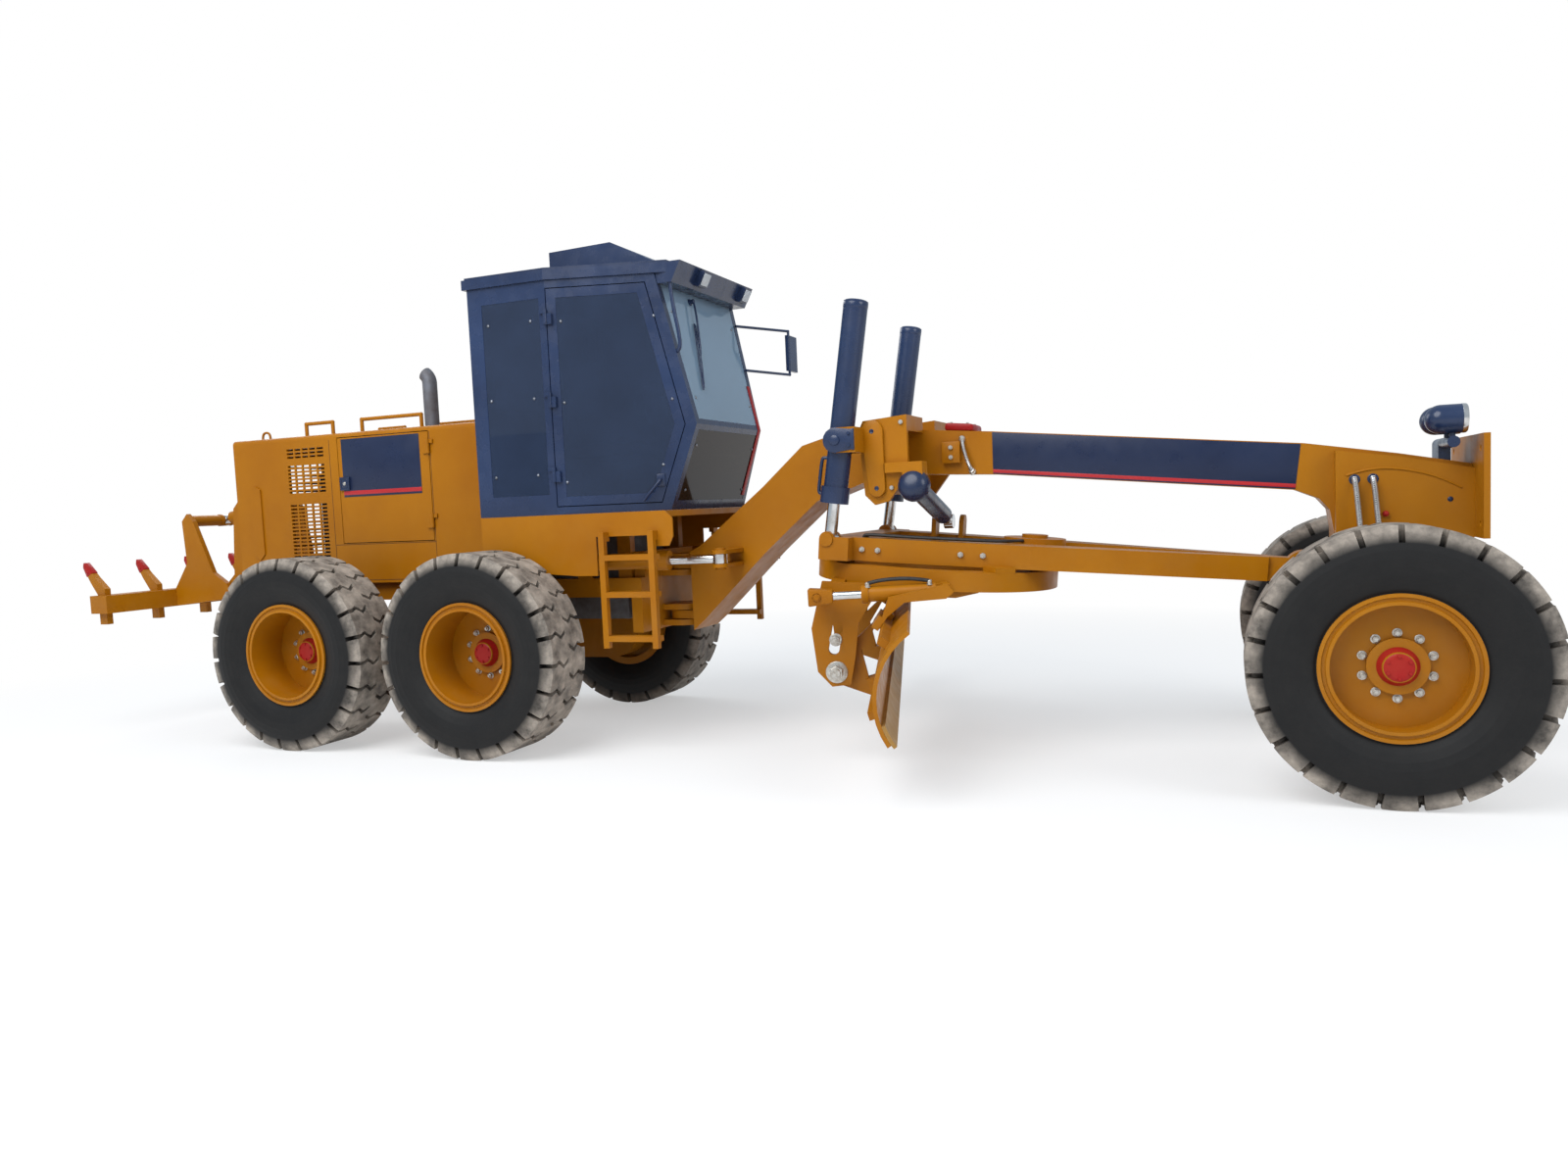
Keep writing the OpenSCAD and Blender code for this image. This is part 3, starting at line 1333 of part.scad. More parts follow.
// Shoe of the tilt bracket that embraces one rail on the blade's back
module shoe(a) {
  r0 = blade_r + blade_t + 8;
  r1 = blade_r + blade_t + rail_depth + 30;
  difference() {
    side_plate(rail_section(a, r0, r1, rail_tall + 70), lever_y - shoe_w / 2, lever_y + shoe_w / 2);
    side_plate(rail_section(a, r0 - 50, blade_r + blade_t + rail_depth + shoe_gap, rail_tall + 2 * shoe_gap),
      lever_y - shoe_w, lever_y + shoe_w);
  }
}

// Point on the blade's back at a radius and an angle
function blade_point(r, a) = curve_centre + r * [cos(a), sin(a)];

module tilt_bracket() {
  r = blade_r + blade_t + rail_depth + 20;
  low = rail_angles[1];
  high = rail_angles[0];
  lever = [
    tip_pivot + [-70, 0], tip_pivot + [-20, -75], blade_point(r, low + 7), blade_point(r, low - 7),
    blade_point(r + 40, 175), blade_point(r, high + 7), blade_point(r, high - 7), tip_pivot + [-10, 75]
  ];
  lug_t = 35;
  horn = [
    blade_point(r - 15, high + 5), blade_point(r - 15, high - 7), blade_point(r - 20, high - 22),
    tip_lug + [0, -42], tip_lug + [42, 0], tip_lug + [0, 42], blade_point(r + 60, high - 16)
  ];
  color(yellow) on_machine() in_circle() {
    both_sides() {
      side_plate(lever, lever_y - lever_t / 2, lever_y + lever_t / 2);
      pin_y([tip_pivot.x, lever_y, tip_pivot.y], 75, lever_t);
      pin_y([tip_pivot.x, (lever_y + arm_y + arm_t / 2) / 2, tip_pivot.y], tip_pin_r, arm_y + arm_t / 2 - lever_y);
      for (a = rail_angles) shoe(a);
    }
    // Horns over the blade's top edge that the tip cylinder pushes
    for (y = [-tip_y - horn_in - lug_t, -tip_y + horn_in])
      side_plate(horn, y, y + lug_t);
    // Bar that ties the horns to the upper shoe
    side_plate(rail_section(high, r - 14, r + 26, 80), -tip_y - horn_in - lug_t, -lever_y + lever_t / 2);
  }
}

tip_barrel_l = 420;
tip_rod_reach = 600;

// Frame of the tip cylinder, X from the arm's pin towards the horns
module in_tip() {
  v = tip_lug - tip_anchor;
  translate([tip_anchor.x, -tip_y, tip_anchor.y]) rotate([0, -atan2(v.y, v.x), 0]) children();
}
tip_l = norm(tip_lug - tip_anchor);

module tip_rod() {
  color(chrome) on_machine() in_circle() in_tip() difference() {
    union() {
      pin_y([0, 0, 0], 46, 56);
      pin_x([tip_rod_reach / 2, 0, 0], tip_rod_r, tip_rod_reach);
    }
    pin_y([0, 0, 0], 26 + pin_gap, 80);
  }
}

module tip_barrel() {
  color(yellow) on_machine() in_circle() in_tip() difference() {
    union() {
      pin_x([tip_l - tip_barrel_l / 2 - 60, 0, 0], tip_r, tip_barrel_l);
      pin_x([tip_l - 40, 0, 0], 26, 80);
      pin_y([tip_l, 0, 0], 38, 2 * (horn_in - 3));
    }
    pin_x([tip_l - tip_barrel_l / 2 - 90, 0, 0], tip_rod_r + pin_gap, tip_barrel_l + 10);
  }
}

// Ripper

ripper_top = [-2605, 0, 1646];
ripper_bar_x = -2890;
ripper_bar_z = [950, 1090];
ripper_half = 1000;
ripper_plate_t = 40;
shank_ys = [-920, -460, 0, 460, 920];
ripper_tube_r = 45;

module ripper() {
  plate = [
    [ripper_pivot.x + 60, ripper_pivot.z], [ripper_pivot.x + 20, ripper_pivot.z + 70], [ripper_pivot.x - 120, ripper_pivot.z + 160],
    [ripper_top.x + 60, ripper_top.z], [ripper_top.x, ripper_top.z + 60], [ripper_top.x - 60, ripper_top.z],
    [ripper_top.x - 40, 1300], [ripper_bar_x + 90, ripper_bar_z[1]], [ripper_bar_x + 90, ripper_bar_z[0]],
    [ripper_pivot.x - 40, ripper_pivot.z - 60], [ripper_pivot.x + 20, ripper_pivot.z - 60]
  ];
  shank_t = 50;
  shank = [
    [ripper_bar_x - 60, 860], [ripper_bar_x + 20, 860], [ripper_bar_x + 20, 1140], [ripper_bar_x - 80, 1230],
    [ripper_bar_x - 190, 1345], [ripper_bar_x - 200, 1310], [ripper_bar_x - 130, 1190], [ripper_bar_x - 60, 1090]
  ];
  ear_t = 25;
  eye_t = 60;
  color(yellow) on_machine() {
    both_sides() side_plate([for (i = [len(plate) - 1 : -1 : 0]) plate[i]], ripper_arm_y - 20, ripper_arm_y - 20 + ripper_plate_t);
    both_sides() pin_y([ripper_pivot.x, ripper_arm_y - 45, ripper_pivot.z], ripper_pin_r, 60);
    block([ripper_bar_x - 80, -ripper_half, ripper_bar_z[0]], [ripper_bar_x + 100, ripper_half, ripper_bar_z[1]]);
    for (y = shank_ys) side_plate(shank, y - shank_t / 2, y + shank_t / 2);
    both_sides() {
      bar([ripper_top.x, eye_t / 2 + 2, ripper_top.z], [ripper_top.x, ripper_arm_y - 10, ripper_top.z], ripper_tube_r);
      pin_y([ripper_top.x, eye_t / 2 + 2 + ear_t / 2, ripper_top.z], 50, ear_t);
    }
  }
}

ripper_cyl_r = 55;
ripper_rod_r = 28;
ripper_barrel_l = 425;
ripper_start = 20;
ripper_bore = 66;

module ripper_barrel() {
  color(yellow) on_machine() difference() {
    union() {
      aim(ripper_upper, ripper_top) pin_x([(ripper_start + ripper_barrel_l) / 2, 0, 0], ripper_cyl_r, ripper_barrel_l - ripper_start);
      pin_y(ripper_upper, 60, 60);
    }
    pin_y(ripper_upper, ripper_pin_r + pin_gap, 2 * ripper_cyl_r + 10);
    aim(ripper_upper, ripper_top) pin_x([(ripper_bore + ripper_barrel_l + 1) / 2, 0, 0], ripper_rod_r + pin_gap, ripper_barrel_l + 1 - ripper_bore);
  }
}

module ripper_rod() {
  l = norm(ripper_top - ripper_upper);
  tail = 115;
  color(chrome) on_machine() {
    aim(ripper_upper, ripper_top) pin_x([(l + tail) / 2, 0, 0], ripper_rod_r, l - tail);
    pin_y(ripper_top, 50, 60);
  }
}

// Pieces

rear_frame();
engine_hood();
engine_block();
exhaust_stack();
rear_axle();
hood_door_left();
hood_door_right();
cab_base();
cab_frame();
cab_roof();
cab_glass();
operator_station();
cab_fittings();
door_left();
door_left_glass();
door_right();
door_right_glass();
rear_rim(rear_x, 1);  // rim_rear_left
tyre_at(rear_x, 1);  // tyre_rear_left
rear_rim(rear_x, -1);  // rim_rear_right
tyre_at(rear_x, -1);  // tyre_rear_right
rear_rim(mid_x, 1);  // rim_mid_left
tyre_at(mid_x, 1);  // tyre_mid_left
rear_rim(mid_x, -1);  // rim_mid_right
tyre_at(mid_x, -1);  // tyre_mid_right
front_rim(1);  // rim_front_left
tyre_at(front_x, 1);  // tyre_front_left
front_rim(-1);  // rim_front_right
tyre_at(front_x, -1);  // tyre_front_right
front_frame();
lift_saddle();
front_lamps();
front_axle();
axle_hoses();
knuckle_left();
knuckle_right();
tie_rod();
steer_barrels();
steer_rod_left();
steer_rod_right();
artic_barrel_left();
artic_rod_left();
artic_barrel_right();
artic_rod_right();
drawbar();
lift_barrels();
lift_rods();
shift_barrel();
shift_rod();
blade_circle();
tilt_bracket();
tip_barrel();
tip_rod();
moldboard();
cutting_edge();
ripper();
ripper_barrel();
ripper_rod();
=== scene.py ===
import json
import math

import bpy
from mathutils import Matrix, Vector

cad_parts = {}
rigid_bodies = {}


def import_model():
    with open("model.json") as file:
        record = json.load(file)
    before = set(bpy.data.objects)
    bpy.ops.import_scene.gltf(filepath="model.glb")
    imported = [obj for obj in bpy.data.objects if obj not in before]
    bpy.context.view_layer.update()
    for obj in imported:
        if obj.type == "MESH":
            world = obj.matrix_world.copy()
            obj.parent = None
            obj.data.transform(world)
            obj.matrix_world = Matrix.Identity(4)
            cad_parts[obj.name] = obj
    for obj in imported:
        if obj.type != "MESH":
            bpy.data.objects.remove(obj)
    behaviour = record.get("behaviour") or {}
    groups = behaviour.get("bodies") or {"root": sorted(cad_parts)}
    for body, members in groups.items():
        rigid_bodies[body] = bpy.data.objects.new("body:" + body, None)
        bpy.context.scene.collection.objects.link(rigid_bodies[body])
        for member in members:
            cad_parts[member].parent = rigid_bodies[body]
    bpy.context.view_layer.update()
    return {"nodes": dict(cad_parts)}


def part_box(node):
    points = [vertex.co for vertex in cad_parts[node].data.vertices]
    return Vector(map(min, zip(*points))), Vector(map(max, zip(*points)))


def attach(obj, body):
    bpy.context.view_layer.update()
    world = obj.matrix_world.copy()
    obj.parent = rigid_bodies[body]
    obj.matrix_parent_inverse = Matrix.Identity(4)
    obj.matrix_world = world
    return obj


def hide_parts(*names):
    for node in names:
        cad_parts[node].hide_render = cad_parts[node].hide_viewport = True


for leftover in list(bpy.data.objects):
    bpy.data.objects.remove(leftover)
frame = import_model()
nodes = frame["nodes"]
scene = bpy.context.scene
scene.view_settings.view_transform = "Standard"

# The camera stands where the photographer stood: off the right front wheel, a little below
# eye height, turned back towards the cab. The tandem centre lies 1.835 m behind the origin.
TANDEM_X = -1.835
CAMERA_PLACE = (3.517, -7.057, 1.566)
CAMERA_YAW, CAMERA_PITCH, CAMERA_ROLL = (math.radians(a) for a in (-21.935, -4.280, -2.535))
CAMERA_SENSOR, CAMERA_FOCAL_PX, IMAGE_WIDTH_PX = 36.0, 1133.87, 1600
CAMERA_REACH = 200

forward = Vector((
    math.sin(CAMERA_YAW) * math.cos(CAMERA_PITCH),
    math.cos(CAMERA_YAW) * math.cos(CAMERA_PITCH),
    math.sin(CAMERA_PITCH),
))
level_right = Vector((math.cos(CAMERA_YAW), -math.sin(CAMERA_YAW), 0))
level_up = level_right.cross(forward)
right = level_right * math.cos(CAMERA_ROLL) + level_up * math.sin(CAMERA_ROLL)
up = level_up * math.cos(CAMERA_ROLL) - level_right * math.sin(CAMERA_ROLL)
camera_data = bpy.data.cameras.new("camera")
camera_data.sensor_width = CAMERA_SENSOR
camera_data.lens = CAMERA_SENSOR * CAMERA_FOCAL_PX / IMAGE_WIDTH_PX
camera_data.clip_end = CAMERA_REACH
camera = bpy.data.objects.new("camera", camera_data)
scene.collection.objects.link(camera)
camera.matrix_world = Matrix((
    (right.x, up.x, -forward.x, CAMERA_PLACE[0]),
    (right.y, up.y, -forward.y, CAMERA_PLACE[1]),
    (right.z, up.z, -forward.z, CAMERA_PLACE[2]),
    (0, 0, 0, 1),
))
scene.camera = camera

# A plain pale floor under the machine that fades to white, lit like an overcast yard: a bright
# even sky, one large soft lamp above the viewer's side and two weak ones in front and behind.
FLOOR_SIZE, FLOOR_DROP = 160, 0.001
FLOOR_COLOUR, WHITE = (0.86, 0.86, 0.86, 1), (1, 1, 1, 1)
FLOOR_WHITE_FROM, FLOOR_WHITE_TO, FLOOR_GLOW = 4.0, 9.0, 0.45
SKY_COLOUR, SKY_STRENGTH = (0.80, 0.90, 1.0, 1), 0.62
LAMPS = [
    ("lamp_above", (-1.0, -7.0, 9.0), (0.5, 0, 1.2), 9.0, 1050),
    ("lamp_front", (11.0, -4.0, 6.0), (3.0, 0, 1.2), 6.0, 330),
    ("lamp_rear", (-9.0, 6.0, 7.0), (-1.5, 0, 1.4), 7.0, 330),
]


def pick(*pieces):
    """Object mode with only these pieces selected, the first of them active."""
    if bpy.context.object and bpy.context.object.mode != "OBJECT":
        bpy.ops.object.mode_set(mode="OBJECT")
    bpy.ops.object.select_all(action="DESELECT")
    for piece in pieces:
        piece.select_set(True)
    if pieces:
        bpy.context.view_layer.objects.active = pieces[0]


def settle(node, **values):
    """Fills in a node's sockets, named with _ for a space, and its settings."""
    for key, value in values.items():
        socket = key.replace("_", " ")
        if socket in node.inputs:
            node.inputs[socket].default_value = value
        else:
            setattr(node, key, value)


def add_node(tree, kind, **values):
    node = tree.nodes.new(kind)
    settle(node, **values)
    return node


def new_material(name, centre=(0, 0, 0)):
    """A material, its tree and shader, and the object's own coordinates from a centre."""
    material = bpy.data.materials.new(name)
    material.use_nodes = True
    tree = material.node_tree
    shader = next(n for n in tree.nodes if n.type == "BSDF_PRINCIPLED")
    coordinate = tree.nodes.new("ShaderNodeTexCoord")
    mapping = add_node(tree, "ShaderNodeMapping", vector_type="POINT", Location=[-c for c in centre])
    tree.links.new(coordinate.outputs["Object"], mapping.inputs["Vector"])
    return material, tree, shader, mapping.outputs["Vector"]


def noise(tree, vector, scale, detail=4, rough=0.55):
    node = add_node(tree, "ShaderNodeTexNoise", Scale=scale, Detail=detail, Roughness=rough)
    tree.links.new(vector, node.inputs["Vector"])
    return node.outputs["Fac"]


def ramp(tree, factor, low, high, low_value=0.0, high_value=1.0):
    node = add_node(
        tree, "ShaderNodeMapRange", From_Min=low, From_Max=high, To_Min=low_value, To_Max=high_value)
    tree.links.new(factor, node.inputs["Value"])
    return node.outputs["Result"]


def combined(tree, a, b, operation="MULTIPLY"):
    """Two shares multiplied or added, of which the second may be a number."""
    node = add_node(tree, "ShaderNodeMath", operation=operation, use_clamp=True)
    tree.links.new(a, node.inputs[0])
    if isinstance(b, float):
        node.inputs[1].default_value = b
    else:
        tree.links.new(b, node.inputs[1])
    return node.outputs["Value"]


def mixed(tree, factor, first, second):
    node = add_node(tree, "ShaderNodeMix", data_type="RGBA")
    tree.links.new(factor, node.inputs["Factor"])
    for value, socket in ((first, node.inputs[6]), (second, node.inputs[7])):
        if isinstance(value, tuple):
            socket.default_value = value
        else:
            tree.links.new(value, socket)
    return node.outputs[2]


def split(tree, vector):
    node = tree.nodes.new("ShaderNodeSeparateXYZ")
    tree.links.new(vector, node.inputs["Vector"])
    return node.outputs


def length_of(tree, vector):
    node = add_node(tree, "ShaderNodeVectorMath", operation="LENGTH")
    tree.links.new(vector, node.inputs[0])
    return node.outputs["Value"]


def surface_of(tree, output, factor, first, second):
    """Two shaders mixed by a factor, as the surface of the tree's output."""
    node = tree.nodes.new("ShaderNodeMixShader")
    for k, source in enumerate((factor, first, second)):
        tree.links.new(source, node.inputs[k])
    tree.links.new(node.outputs["Shader"], tree.nodes[output].inputs["Surface"])


pick()
bpy.ops.mesh.primitive_plane_add(size=FLOOR_SIZE, location=(0, 0, -FLOOR_DROP))
floor = bpy.context.object
floor.name = "floor"
floor_material, tree, shader, place = new_material("pale_floor")
settle(shader, Base_Color=FLOOR_COLOUR, Roughness=0.9, Specular_IOR_Level=0.1)
rays = tree.nodes.new("ShaderNodeLightPath").outputs
looked_at = combined(tree, rays["Is Camera Ray"], rays["Is Glossy Ray"], "ADD")
seen = combined(tree, looked_at, rays["Is Transmission Ray"], "ADD")
far_off = ramp(tree, length_of(tree, place), FLOOR_WHITE_FROM, FLOOR_WHITE_TO, FLOOR_GLOW, 1.0)
white = add_node(tree, "ShaderNodeEmission", Color=WHITE, Strength=1.0).outputs["Emission"]
surface_of(tree, "Material Output", combined(tree, far_off, seen), shader.outputs["BSDF"], white)
floor.data.materials.append(floor_material)

world = bpy.data.worlds.new("overcast_sky")
scene.world = world
world.use_nodes = True
tree = world.node_tree
rays = tree.nodes.new("ShaderNodeLightPath").outputs
white = add_node(tree, "ShaderNodeBackground", Color=WHITE, Strength=1.0).outputs["Background"]
lighting = tree.nodes["Background"]
settle(lighting, Color=SKY_COLOUR, Strength=SKY_STRENGTH)
surface_of(tree, "World Output", rays["Is Camera Ray"], lighting.outputs["Background"], white)

for name, place, target, size, power in LAMPS:
    lamp_data = bpy.data.lights.new(name, "AREA")
    lamp_data.shape = "DISK"
    lamp_data.size = size
    lamp_data.energy = power
    lamp = bpy.data.objects.new(name, lamp_data)
    scene.collection.objects.link(lamp)
    lamp.location = place
    lamp.rotation_euler = (Vector(target) - Vector(place)).to_track_quat("-Z", "Y").to_euler()

# Yellow enamel on welded steel: frames, hood, blade and rims. It is a workshop respray, even
# in tone, with dust that settles on the lower parts and a few chips down to rusty steel.
YELLOW, YELLOW_DEEP = (0.385, 0.142, 0.002, 1), (0.325, 0.110, 0.001, 1)
ROAD_DUST, RUST = (0.29, 0.17, 0.055, 1), (0.10, 0.035, 0.012, 1)
DUST_TOP, DUST_FOOT = 1.7, 0.25


def bump(tree, shader, height, strength, distance):
    node = add_node(tree, "ShaderNodeBump", Strength=strength, Distance=distance)
    tree.links.new(height, node.inputs["Height"])
    tree.links.new(node.outputs["Normal"], shader.inputs["Normal"])


def paint(tree, shader, colour, rough):
    tree.links.new(colour, shader.inputs["Base Color"])
    tree.links.new(rough, shader.inputs["Roughness"])


def enamel(name, colour, deep, dust_share, chip_share, gloss=0.30, shine=0.18):
    """Sprayed enamel with dust below about cab height and small chips."""
    material, tree, shader, place = new_material(name)
    tone = ramp(tree, noise(tree, place, 1.4, 5), 0.35, 0.68)
    low_down = ramp(tree, split(tree, place)["Z"], DUST_TOP, DUST_FOOT, 0.15, 1.0)
    patches = ramp(tree, noise(tree, place, 5.0, 8, 0.65), 0.42, 0.72)
    dust = combined(tree, combined(tree, low_down, patches), dust_share)
    dusty = mixed(tree, dust, mixed(tree, tone, colour, deep), ROAD_DUST)
    chips = ramp(tree, noise(tree, place, 42.0, 3, 0.7), 0.735, 0.75, 0.0, chip_share)
    rough = ramp(tree, noise(tree, place, 9.0, 6), 0.3, 0.7, gloss, gloss + 0.2)
    paint(tree, shader, mixed(tree, chips, dusty, RUST), rough)
    settle(shader, Specular_IOR_Level=shine, Coat_Weight=0.03, Coat_Roughness=0.25)
    bump(tree, shader, noise(tree, place, 130.0, 2), 0.12, 0.0008)
    return material


def dress(names, material):
    for name in names:
        mesh = nodes[name].data
        mesh.materials.clear()
        mesh.materials.append(material)


yellow_enamel = enamel("yellow_enamel", YELLOW, YELLOW_DEEP, 0.22, 0.45)
YELLOW_NODES = [
    "rear_frame", "engine_hood", "rear_axle", "hood_door_left", "hood_door_right", "cab_base",
    "rim_rear_left", "rim_rear_right", "rim_mid_left", "rim_mid_right", "rim_front_left", "rim_front_right",
    "front_frame", "lift_saddle", "front_axle", "knuckle_left", "knuckle_right", "steer_barrels",
    "artic_barrel_left", "artic_barrel_right", "drawbar", "blade_circle", "tilt_bracket", "tip_barrel",
    "moldboard", "ripper", "ripper_barrel",
]
dress(YELLOW_NODES, yellow_enamel)

# Black enamel on the cab, its doors and fittings, the lamps and the lift cylinders: glossy,
# with a film of dust. Its blue cast is a painted reflection of the sky.
# Both tones are blue as a painted sky reflection; the second, in random patches, is paler and bluer, for
# fading and painted reflection.
BLACK, BLACK_FADED_SKY_REFLECTION = (0.010, 0.020, 0.055, 1), (0.019, 0.037, 0.095, 1)
black_enamel = enamel("black_enamel", BLACK, BLACK_FADED_SKY_REFLECTION, 0.04, 0.10, 0.16, 0.42)
dress(["cab_frame", "cab_fittings", "door_left", "door_right", "front_lamps", "tie_rod", "lift_barrels",
       "shift_barrel", "cab_roof"], black_enamel)

# Cylinder rods: ground steel under hard chrome, bright where it is wiped by the seals and
# clouded by a grey oil film.


def patchy(name, first, second, scale, detail, gloss, dull, metallic=0.0, coarse=0.55, grain=None):
    """Two tones in patches, the second one duller; grain is the scale, detail and depth of a bump."""
    material, tree, shader, place = new_material(name)
    patch = ramp(tree, noise(tree, place, scale, detail, coarse), 0.35, 0.7)
    paint(tree, shader, mixed(tree, patch, first, second), ramp(tree, patch, 0.0, 1.0, gloss, dull))
    settle(shader, Metallic=metallic)
    if grain:
        bump(tree, shader, noise(tree, place, *grain[:2]), 0.2, grain[2])
    return material


chrome = patchy("chromed_rod", (0.72, 0.73, 0.75, 1), (0.55, 0.54, 0.52, 1), 14.0, 6, 0.10, 0.28, 1.0)
dress(["steer_rod_left", "steer_rod_right", "artic_rod_left", "artic_rod_right", "lift_rods", "shift_rod",
       "tip_rod", "ripper_rod"], chrome)

# Tinted safety glass: dark film on the side and rear panes, a windscreen coloured pale blue as a
# painted reflection of the sky, and a brownish lower front pane.
TINT, TINT_PALE = (0.022, 0.036, 0.075, 1), (0.0286, 0.0468, 0.0975, 1)
SCREEN_SKY_REFLECTION, FOOT_TINT = (0.30, 0.44, 0.58, 1), (0.020, 0.013, 0.010, 1)
SCREEN_FROM_X, SCREEN_FROM_Z, PANE_FADE = 0.05, 2.115, 0.01
GLASS_CLEAR, GLASS_IOR = 0.40, 1.45


def tinted_glass(name, with_screen):
    material, tree, shader, place = new_material(name)
    film = ramp(tree, noise(tree, place, 3.0, 5), 0.3, 0.75)
    pane_colour = mixed(tree, film, TINT, TINT_PALE)
    if with_screen:
        parts = split(tree, place)
        front = ramp(tree, parts["X"], SCREEN_FROM_X - PANE_FADE, SCREEN_FROM_X)
        upper = ramp(tree, parts["Z"], SCREEN_FROM_Z - PANE_FADE, SCREEN_FROM_Z)
        # The upper front pane takes a pale blue colour that is a painted reflection of the sky.
        pane_colour = mixed(tree, front, pane_colour, mixed(tree, upper, FOOT_TINT, SCREEN_SKY_REFLECTION))
        tree.links.new(ramp(tree, upper, 0.0, 1.0, 0.10, 0.5), shader.inputs["Specular IOR Level"])
    paint(tree, shader, pane_colour, ramp(tree, film, 0.0, 1.0, 0.02, 0.09))
    settle(shader, Transmission_Weight=GLASS_CLEAR, IOR=GLASS_IOR)
    return material


dress(["cab_glass"], tinted_glass("cab_glazing", True))
dress(["door_left_glass", "door_right_glass"], tinted_glass("door_glazing", False))

# Tyres: moulded black rubber on the rims, cleaned on the sidewalls and dusty from the shoulder
# outwards over the tread.
RUBBER, TREAD_DUST = (0.0070, 0.0070, 0.0074, 1), (0.43, 0.37, 0.31, 1)
SHOULDER_R = 0.600


def tyre_rubber(name, centre):
    material, tree, shader, place = new_material(name, centre)
    parts = split(tree, place)
    flat = tree.nodes.new("ShaderNodeCombineXYZ")
    for axis in "XZ":
        tree.links.new(parts[axis], flat.inputs[axis])
    radius = length_of(tree, flat.outputs["Vector"])
    tread = ramp(tree, radius, SHOULDER_R - 0.01, SHOULDER_R + 0.05, 0.012, 1.0)
    patches = ramp(tree, noise(tree, place, 9.0, 8, 0.65), 0.3, 0.7, 0.15, 1.0)
    dust = combined(tree, tread, patches)
    paint(tree, shader, mixed(tree, dust, RUBBER, TREAD_DUST), ramp(tree, dust, 0.0, 1.0, 0.55, 0.92))
    settle(shader, Specular_IOR_Level=0.25)
    bump(tree, shader, noise(tree, place, 90.0, 4), 0.25, 0.002)
    return material


for wheel in ("rear_left", "rear_right", "mid_left", "mid_right", "front_left", "front_right"):
    low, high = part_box("tyre_" + wheel)
    dress(["tyre_" + wheel], tyre_rubber("tyre_rubber_" + wheel, (low + high) / 2))

# Bare metals: the engine's stained castings and the heat-dulled steel of the exhaust. The cutting
# edge is sprayed over and worn back by the ground.
WORN, WORN_DEEP = (0.40, 0.20, 0.040, 1), (0.30, 0.17, 0.055, 1)


def bare_metal(name, colour, stained, metallic, gloss):
    return patchy(name, colour, stained, 7.0, 8, gloss, gloss + 0.25, metallic, 0.65, (60.0, 4, 0.0015))


engine_casting = bare_metal("engine_casting", (0.16, 0.16, 0.17, 1), (0.09, 0.08, 0.07, 1), 0.4, 0.5)
dress(["engine_block"], engine_casting)
exhaust_steel = bare_metal("exhaust_steel", (0.16, 0.17, 0.20, 1), (0.10, 0.09, 0.09, 1), 0.3, 0.5)
dress(["exhaust_stack"], exhaust_steel)
dress(["cutting_edge"], enamel("worn_edge", WORN, WORN_DEEP, 0.5, 0.8, 0.42))

# Hub caps: pressed steel, sprayed red, pushed over the hub's end. Each is turned in one piece
# with a flat face, a soft shoulder and a rolled foot, and carries six small cap screws.
MM = 0.001
SIDES = (("left", 1), ("right", -1))
WHEEL_Y, WHEEL_Z = 1045, 674
WHEELS = [
    (place + "_" + side, x, sign, disc)
    for place, x, disc in (("rear", -761.5, -95), ("mid", 761.5, -95), ("front", 6086, 55))
    for side, sign in SIDES
]
HUB_ABOVE_DISC = 40
CAP_PROFILE = [(0, 51), (46, 51), (61, 49), (70, 43), (75, 35), (90, 7), (93, 4), (93, 0.5), (0, 0.5)]
CAP_SCREWS, CAP_SCREW_R, CAP_SCREW_UP = 6, 54, 50.5
HEAD_CHAMFER, STUD_TIP, STUD_FOOT = 0.12, 0.5, 0.56
SOFT_EDGE_FROM = 32


def at(x, y, z):
    """Millimetres from the tandem centre, turned to the frame's metres."""
    return Vector((x * MM + TANDEM_X, y * MM, z * MM))


def finish_shading(piece, angle=35):
    pick(piece)
    bpy.ops.object.shade_smooth_by_angle(angle=math.radians(angle))


def turned(name, profile, place, axis, steps=32, closed=False):
    """A half outline of (radius, height) in millimetres, spun about an axis through a place."""
    axis = Vector(axis).normalized()
    radial = axis.orthogonal().normalized()
    pick()
    bpy.ops.mesh.primitive_circle_add(vertices=len(profile))
    piece = bpy.context.object
    piece.name = name
    for vertex, (radius, height) in zip(piece.data.vertices, profile):
        vertex.co = place + (radial * radius + axis * height) * MM
    bpy.context.tool_settings.mesh_select_mode = (False, True, False)
    ends = {0, len(profile) - 1}
    for vertex in piece.data.vertices:
        vertex.select = False
    for edge in piece.data.edges:
        edge.select = set(edge.vertices) == ends
    bpy.ops.object.mode_set(mode="EDIT")
    if not closed:
        bpy.ops.mesh.delete(type="EDGE")
    bpy.ops.mesh.select_all(action="SELECT")
    bpy.ops.mesh.spin(steps=steps, angle=2 * math.pi, center=place, axis=axis)
    bpy.ops.mesh.select_all(action="SELECT")
    bpy.ops.mesh.remove_doubles(threshold=0.00002)
    bpy.ops.mesh.normals_make_consistent(inside=False)
    bpy.ops.object.mode_set(mode="OBJECT")
    finish_shading(piece)
    return piece


def round_edges(piece, width):
    pick(piece)
    edge = piece.modifiers.new("soft_edge", "BEVEL")
    edge.width = width * MM
    edge.segments = 2
    edge.limit_method = "ANGLE"
    edge.angle_limit = math.radians(SOFT_EDGE_FROM)
    bpy.ops.object.modifier_apply(modifier=edge.name)
    finish_shading(piece)
    return piece


